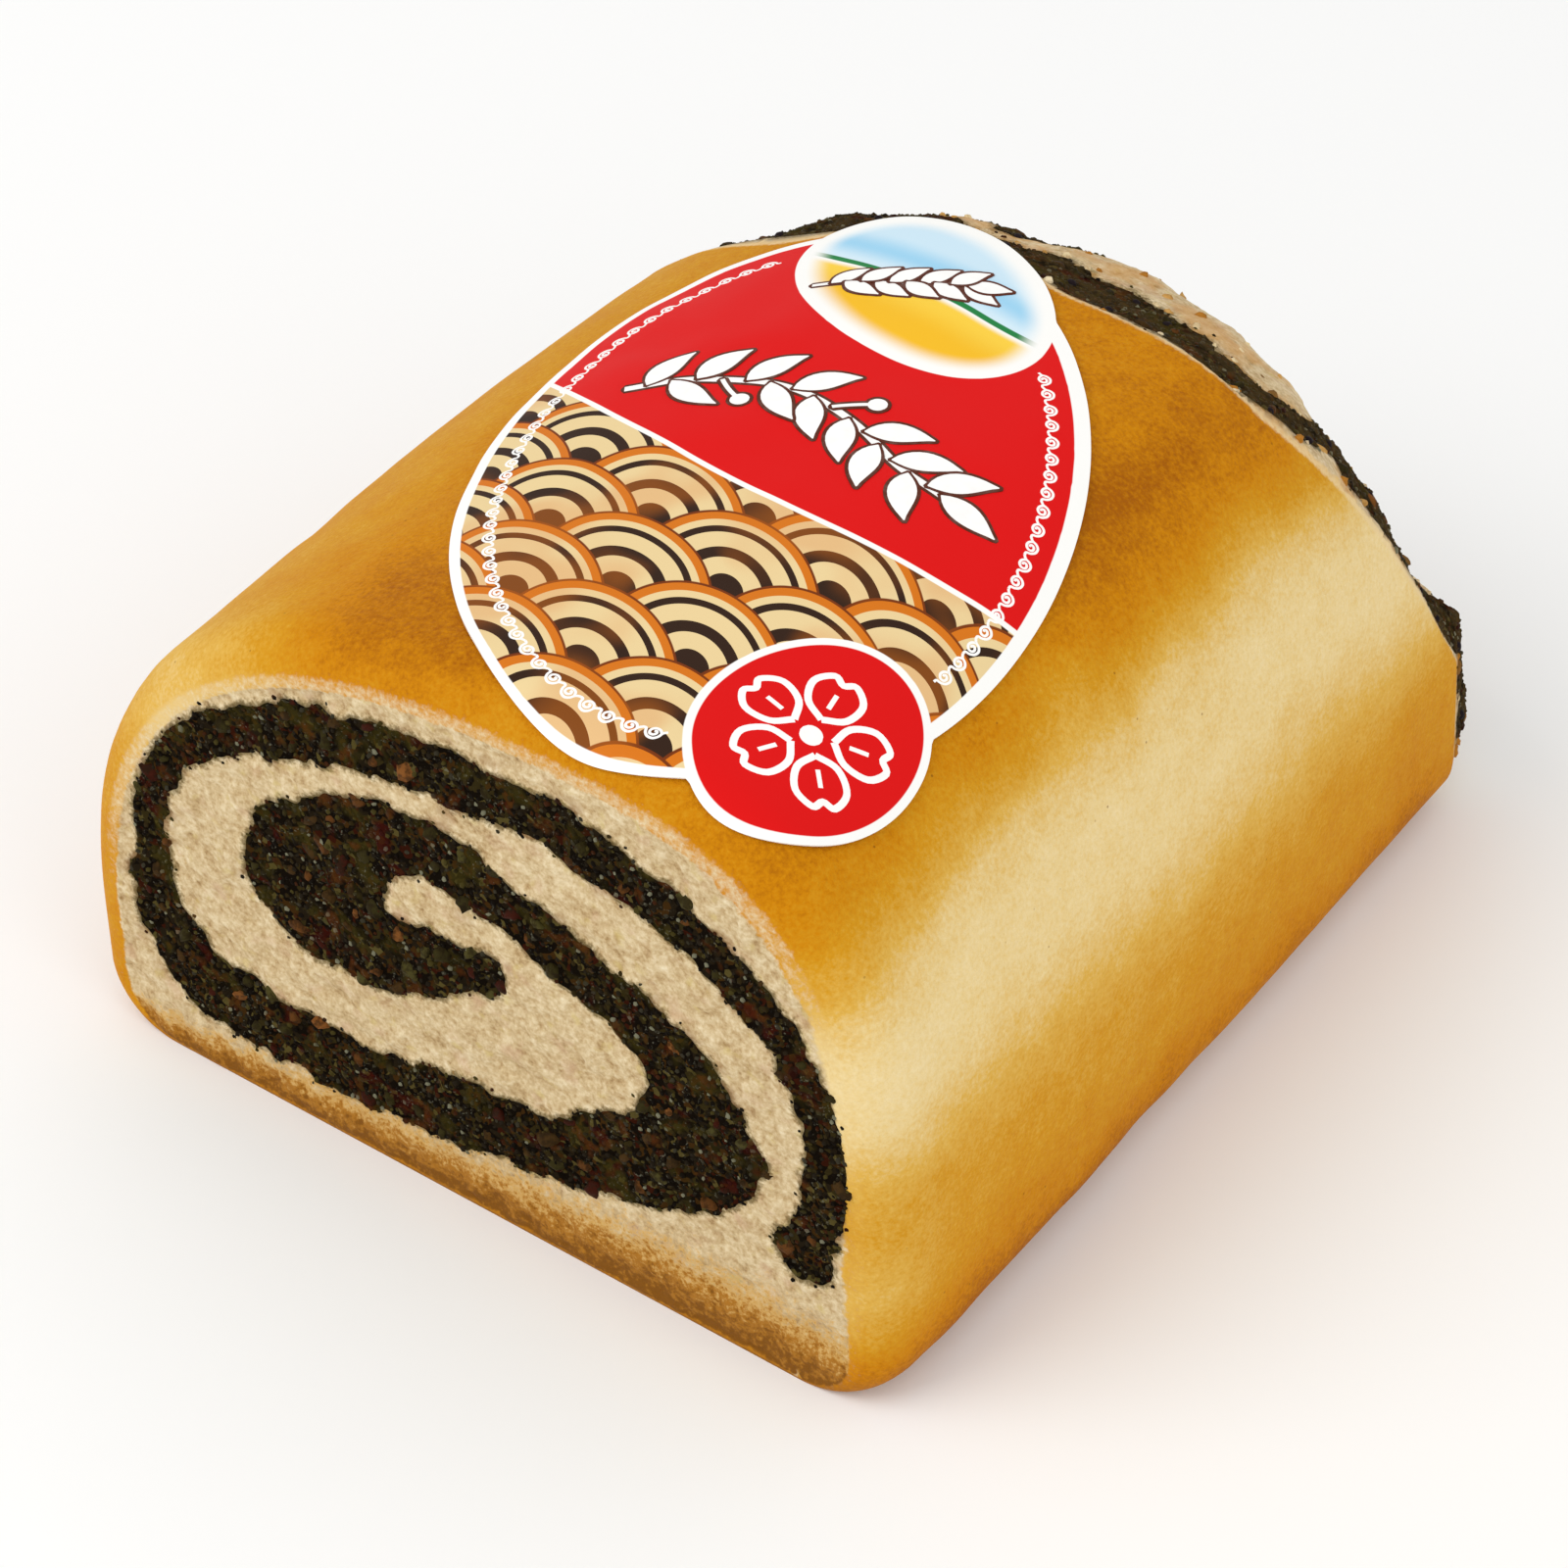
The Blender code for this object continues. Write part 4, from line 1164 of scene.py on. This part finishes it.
def stickerFinish():
    paper = Finish("stickerPaper", 0.45, specular=0.05)
    across, along = paper.field("across"), paper.field("along")
    white, red = paint(252, 251, 247), paint(221, 22, 22)
    cream, dark, orange, brown = paint(234, 208, 154), paint(54, 36, 26), paint(214, 118, 30), paint(120, 56, 22)
    # the lower field: overlapping scales, each of cream and dark rings in an orange edge
    radius = sticker["scaleRadius"]
    rowStep = radius / 2
    turnedAcross = across + along * 0.35
    level = (along + 40) / rowStep
    row = level.math("FLOOR", level)
    scales = None
    for down in (-1, 0, 1):
        thisRow = row - down
        odd = thisRow.math("MODULO", thisRow, 2.0)
        sideways = turnedAcross + odd * radius + 20 * radius
        sideways = sideways.math("MODULO", sideways, 2 * radius) - radius
        upward = (level - thisRow) * rowStep
        far = (sideways * sideways + upward * upward).math("SQRT", sideways * sideways + upward * upward) / radius
        rings = paper.ramp(far, [(0.0, dark), (0.2, cream), (0.4, dark), (0.53, cream), (0.72, dark), (0.8, cream),
                                 (0.88, orange), (0.97, brown)], "CONSTANT")
        scales = rings if scales is None else paper.mix(1 - far.step(0.995, 1.005), scales, rings)
    warm = paper.noise(16, 2).step(0.45, 0.6)
    lower = paper.mix(warm * 0.3, scales, orange)
    bendU, bendV = sticker["dividerLow"]
    aside = across - bendU
    above = along - bendV - sticker["dividerBend"] * (aside * aside)
    field = paper.mix(above.step(-0.05, 0.05), lower, red)
    divider = above.math("ABSOLUTE", above)
    field = paper.mix(1 - divider.step(0.3, 0.4), field, white)
    colour = paper.mix(paper.field("printGap").step(-0.06, 0.06), white, field)
    # the disc: sky over a yellow field, pale at the edge
    discGap = paper.field("discGap")
    high = along - 81.0 + (across + 12) * 0.12
    sky = paper.ramp((high / 14 + 0.5), [
        (0.0, paint(246, 190, 40)), (0.36, paint(250, 208, 70)), (0.44, white), (0.5, paint(214, 236, 247)),
        (0.75, paint(160, 212, 240)), (1.0, paint(206, 232, 246))])
    hill = high.math("ABSOLUTE", high + 0.4)
    sky = paper.mix(1 - hill.step(0.35, 0.5), sky, paint(40, 130, 70))
    sky = paper.mix(discGap.step(1.0, 4.0), white, sky)
    colour = paper.mix(discGap.step(-0.06, 0.06), colour, sky)
    ovalGap = paper.field("ovalGap")
    oval = paper.mix(ovalGap.step(sticker["smallBorder"] - 0.06, sticker["smallBorder"] + 0.06), white, red)
    colour = paper.mix(ovalGap.step(-0.06, 0.06), colour, oval)
    paper.set("Base Color", colour)
    paper.set("Normal", paper.bump(paper.noise(0.5, 2), 0.01))
    return paper.material


def scatter(points, faces, count, spacing, seed):
    # places spread over a patch of triangles, none closer together than the spacing, with its normals
    draw = np.random.default_rng(seed)
    a, b, c = (points[faces[:, k]] for k in range(3))
    normal = np.cross(b - a, c - a)
    area = np.linalg.norm(normal, axis=1)
    normal /= area[:, None] + 1e-12
    chosen = draw.choice(len(faces), count, p=area / area.sum())
    u, v = draw.random(count), draw.random(count)
    flip = u + v > 1
    u[flip], v[flip] = 1 - u[flip], 1 - v[flip]
    spots = a[chosen] + (b - a)[chosen] * u[:, None] + (c - a)[chosen] * v[:, None]
    taken = {}
    kept = []
    for i, spot in enumerate(spots):
        cell = tuple(np.floor(spot / spacing).astype(int))
        near = [p for step in itertools.product((-1, 0, 1), repeat=3)
                for p in taken.get((cell[0] + step[0], cell[1] + step[1], cell[2] + step[2]), [])]
        if all(((spot - p) ** 2).sum() > spacing ** 2 for p in near):
            taken.setdefault(cell, []).append(spot)
            kept.append(i)
    return spots[kept], normal[chosen[kept]]


def ballMesh(rings):
    # a small ball: an icosahedron, split as often as asked
    ball = bmesh.new()
    bmesh.ops.create_icosphere(ball, subdivisions=rings, radius=1.0)
    points = np.array([v.co[:] for v in ball.verts])
    faces = np.array([[v.index for v in f.verts] for f in ball.faces])
    ball.free()
    return points, faces


def turns(draw, count):
    # evenly random rotations
    q = draw.normal(size=(count, 4))
    q /= np.linalg.norm(q, axis=1, keepdims=True)
    w, x, y, z = q.T
    return np.stack([
        np.stack([1 - 2 * (y * y + z * z), 2 * (x * y - z * w), 2 * (x * z + y * w)], axis=1),
        np.stack([2 * (x * y + z * w), 1 - 2 * (x * x + z * z), 2 * (y * z - x * w)], axis=1),
        np.stack([2 * (x * z - y * w), 2 * (y * z + x * w), 1 - 2 * (x * x + y * y)], axis=1),
    ], axis=1)


# The loose things on the two ends: half their size, form, how deep they sit, and how uneven they are
loose = {
    "seed": {"size": 0.41, "form": (1.0, 0.86, 0.74), "sink": 0.35, "rings": 1, "rough": 0.05, "uneven": 0.2,
             "apart": 0.67, "tries": 13000},
    "straySeed": {"size": 0.34, "form": (1.0, 0.86, 0.74), "sink": 0.3, "rings": 1, "rough": 0.05, "uneven": 0.25,
                  "apart": 2.0, "tries": 160},
    "blackSeed": {"size": 0.62, "form": (1.0, 0.95, 0.9), "sink": 0.25, "rings": 2, "rough": 0.02, "uneven": 0.15,
                  "apart": 5.5, "tries": 400},
    "bit": {"size": 1.0, "form": (1.0, 0.8, 0.6), "sink": 0.4, "rings": 2, "rough": 0.12, "uneven": 0.45,
            "apart": 2.6, "tries": 260},
    "crumb": {"size": 0.75, "form": (1.0, 0.8, 0.6), "sink": 0.4, "rings": 2, "rough": 0.12, "uneven": 0.5,
              "apart": 3.8, "tries": 200},
}


def sprinkle(shape, patch, kind, seed, tone=None, torn=0.0):
    # a small uneven ball at each of many places on a patch, pressed in a little
    look = loose[kind]
    spots, normals = scatter(*patch, look["tries"], look["apart"], seed)
    draw = np.random.default_rng(seed + 1)
    ball, faces = ballMesh(look["rings"])
    count = len(spots)
    sizes = look["size"] * (1 + look["uneven"] * draw.uniform(-1, 1, count))
    stretched = ball[None] * (np.array(look["form"]) * draw.uniform(0.85, 1.15, (count, 3)))[:, None, :]
    stretched = stretched * (1 + look["rough"] * draw.normal(size=(count, len(ball), 1)))
    placed = np.einsum("nij,nkj->nki", turns(draw, count), stretched) * sizes[:, None, None]
    placed += (spots - normals * (sizes * look["sink"])[:, None])[:, None]
    placed[:, :, 2] = np.maximum(placed[:, :, 2], 0.0)     # none reaches below the base
    tones = np.repeat(draw.random(count), len(ball)) if tone is None else tone
    index = shape.add(placed.reshape(-1, 3), tone=tones, torn=torn)
    shape.faces.append(index[(faces[None] + np.arange(count)[:, None, None] * len(ball)).reshape(-1, 3)])


def seedFinish():
    seeds = Finish("poppySeeds", 0.5, specular=0.02)
    # each seed's tone; the grey tones from 0.55 and from 0.95 paint glints on whole seeds
    colour = seeds.ramp(seeds.field("tone"), [
        (0.0, paint(20, 15, 10)), (0.34, paint(34, 28, 19)), (0.55, paint(54, 50, 38)), (0.66, paint(46, 36, 16)),
        (0.78, paint(66, 58, 26)), (0.88, paint(58, 30, 13)), (0.95, paint(118, 116, 94))], "CONSTANT")
    black = seeds.field("tone").step(1.4, 1.6)
    seeds.set("Base Color", seeds.mix(black, speckledDark(seeds, colour), paint(36, 28, 31)))
    seeds.set("Normal", seeds.bump(seeds.noise(0.3, 1), 0.05))
    return seeds.material


def bitFinish():
    bits = Finish("groundBits", 0.55, specular=0.03)
    colour = bits.ramp(bits.field("tone"), [
        (0.0, paint(52, 46, 20)), (0.3, paint(66, 46, 20)), (0.55, paint(58, 22, 12)), (0.68, paint(92, 56, 24)),
        (0.84, paint(72, 66, 32)), (0.93, paint(126, 78, 36))], "CONSTANT")
    colour = bits.mix(bits.noise(0.9, 3, 0.6).step(0.4, 0.62) * 0.7, colour, paint(34, 24, 12))
    bits.set("Base Color", colour)
    bits.set("Normal", bits.bump(bits.noise(0.5, 2), 0.15))
    return bits.material


def looseCrumbFinish():
    crumbs = Finish("looseCrumbs", 0.7, specular=0.05)
    colour = crumbs.ramp(crumbs.field("tone"), [
        (0.0, paint(232, 210, 164)), (0.35, paint(206, 158, 88)), (0.6, paint(180, 118, 40)),
        (0.78, paint(118, 84, 40)), (0.9, paint(240, 224, 186))], "CONSTANT")
    colour = crumbs.mix(crumbs.noise(0.8, 3, 0.6).step(0.4, 0.65) * 0.5, colour, paint(150, 104, 48))
    crumbs.set("Base Color", colour)
    crumbs.set("Normal", crumbs.bump(crumbs.noise(0.5, 2), 0.15))
    return crumbs.material


def setStage():
    stage = {"size": 2.0, "colour": paint(252, 252, 251), "sky": 0.78, "key": 3.0, "fill": 1.2}
    bpy.ops.mesh.primitive_plane_add(size=stage["size"], location=(0, 0, 0))
    floor = bpy.context.object
    floor.name = "floor"
    finish = Finish("paleFloor", 0.7, specular=0.1)
    finish.set("Base Color", stage["colour"])
    floor.data.materials.append(finish.material)
    world = bpy.data.worlds.new("studio")
    world.use_nodes = True
    world.node_tree.nodes["Background"].inputs["Color"].default_value = (1, 1, 1, 1)
    world.node_tree.nodes["Background"].inputs["Strength"].default_value = stage["sky"]
    bpy.context.scene.world = world
    middle = Vector((0, 0, 0.03))
    for name, spot, size, power in (
        ("key", (-0.35, -0.55, 0.75), 0.6, stage["key"]),
        ("fill", (0.8, -0.2, 0.5), 0.7, stage["fill"]),
    ):
        light = bpy.data.objects.new(name, bpy.data.lights.new(name, "AREA"))
        light.data.energy = power
        light.data.size = size
        light.location = spot
        light.rotation_euler = (middle - Vector(spot)).to_track_quat("-Z", "Y").to_euler()
        bpy.context.scene.collection.objects.link(light)


def setCamera():
    view = {"spot": (0.2309, -0.3326, 0.3811), "tilt": 47.73, "heading": 35.38, "lens": 111.375}
    camera = bpy.data.objects.new("camera", bpy.data.cameras.new("camera"))
    camera.data.lens = view["lens"]
    camera.data.sensor_width = 36.0
    camera.location = view["spot"]
    camera.rotation_euler = (math.radians(view["tilt"]), 0, math.radians(view["heading"]))
    bpy.context.scene.collection.objects.link(camera)
    bpy.context.scene.camera = camera
    bpy.context.scene.view_settings.view_transform = "Standard"


def settle(piece, slot, node=None):
    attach(piece, "root")
    if node:
        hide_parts(node)


setCamera()
setStage()
print("stage set")

breadShape, fillingShape, ends = makeLoaf()
browningOf(breadShape)
settle(breadShape.make("bread", breadFinish()), "baked_dough", "dough")
settle(fillingShape.make("poppySwirl", fillingFinish()), "poppy_filling", "filling")
print("bread and filling made")

settle(makeSticker().make("paperSticker", stickerFinish(), sharp=50), "sticker_paper", "sticker")
whitePrint, brownPrint = makePrint()
settle(whitePrint.make("printWhite", printFinish("whitePrint", paint(254, 253, 250)), sharp=50), "sticker_paper")
settle(brownPrint.make("printBrown", printFinish("brownPrint", paint(92, 46, 32)), sharp=50), "sticker_paper")
print("sticker laid on")

seedShape, bitShape, crumbShape = Shape(), Shape(), Shape()
for isFront, seed in ((True, 100), (False, 200)):
    end = ends[isFront]
    torn = 0.0 if isFront else 1.0
    sprinkle(seedShape, end["paste"], "seed", seed, torn=torn)
    sprinkle(seedShape, end["besideFilling"], "straySeed", seed + 10)
    sprinkle(bitShape, end["paste"], "bit", seed + 20)
sprinkle(seedShape, ends[False]["paste"], "blackSeed", 230, tone=2.0)
sprinkle(crumbShape, ends[False]["crumb"], "crumb", 240)
sprinkle(crumbShape, ends[False]["besideFilling"], "crumb", 250)
settle(seedShape.make("poppySeeds", seedFinish()), "poppy_filling")
settle(bitShape.make("groundBits", bitFinish()), "poppy_filling")
settle(crumbShape.make("looseCrumbs", looseCrumbFinish()), "baked_dough")
print("seeds and bits scattered")

for piece in bpy.data.objects:
    if piece.type == "MESH" and not piece.hide_render:
        print(piece.name, len(piece.data.polygons))
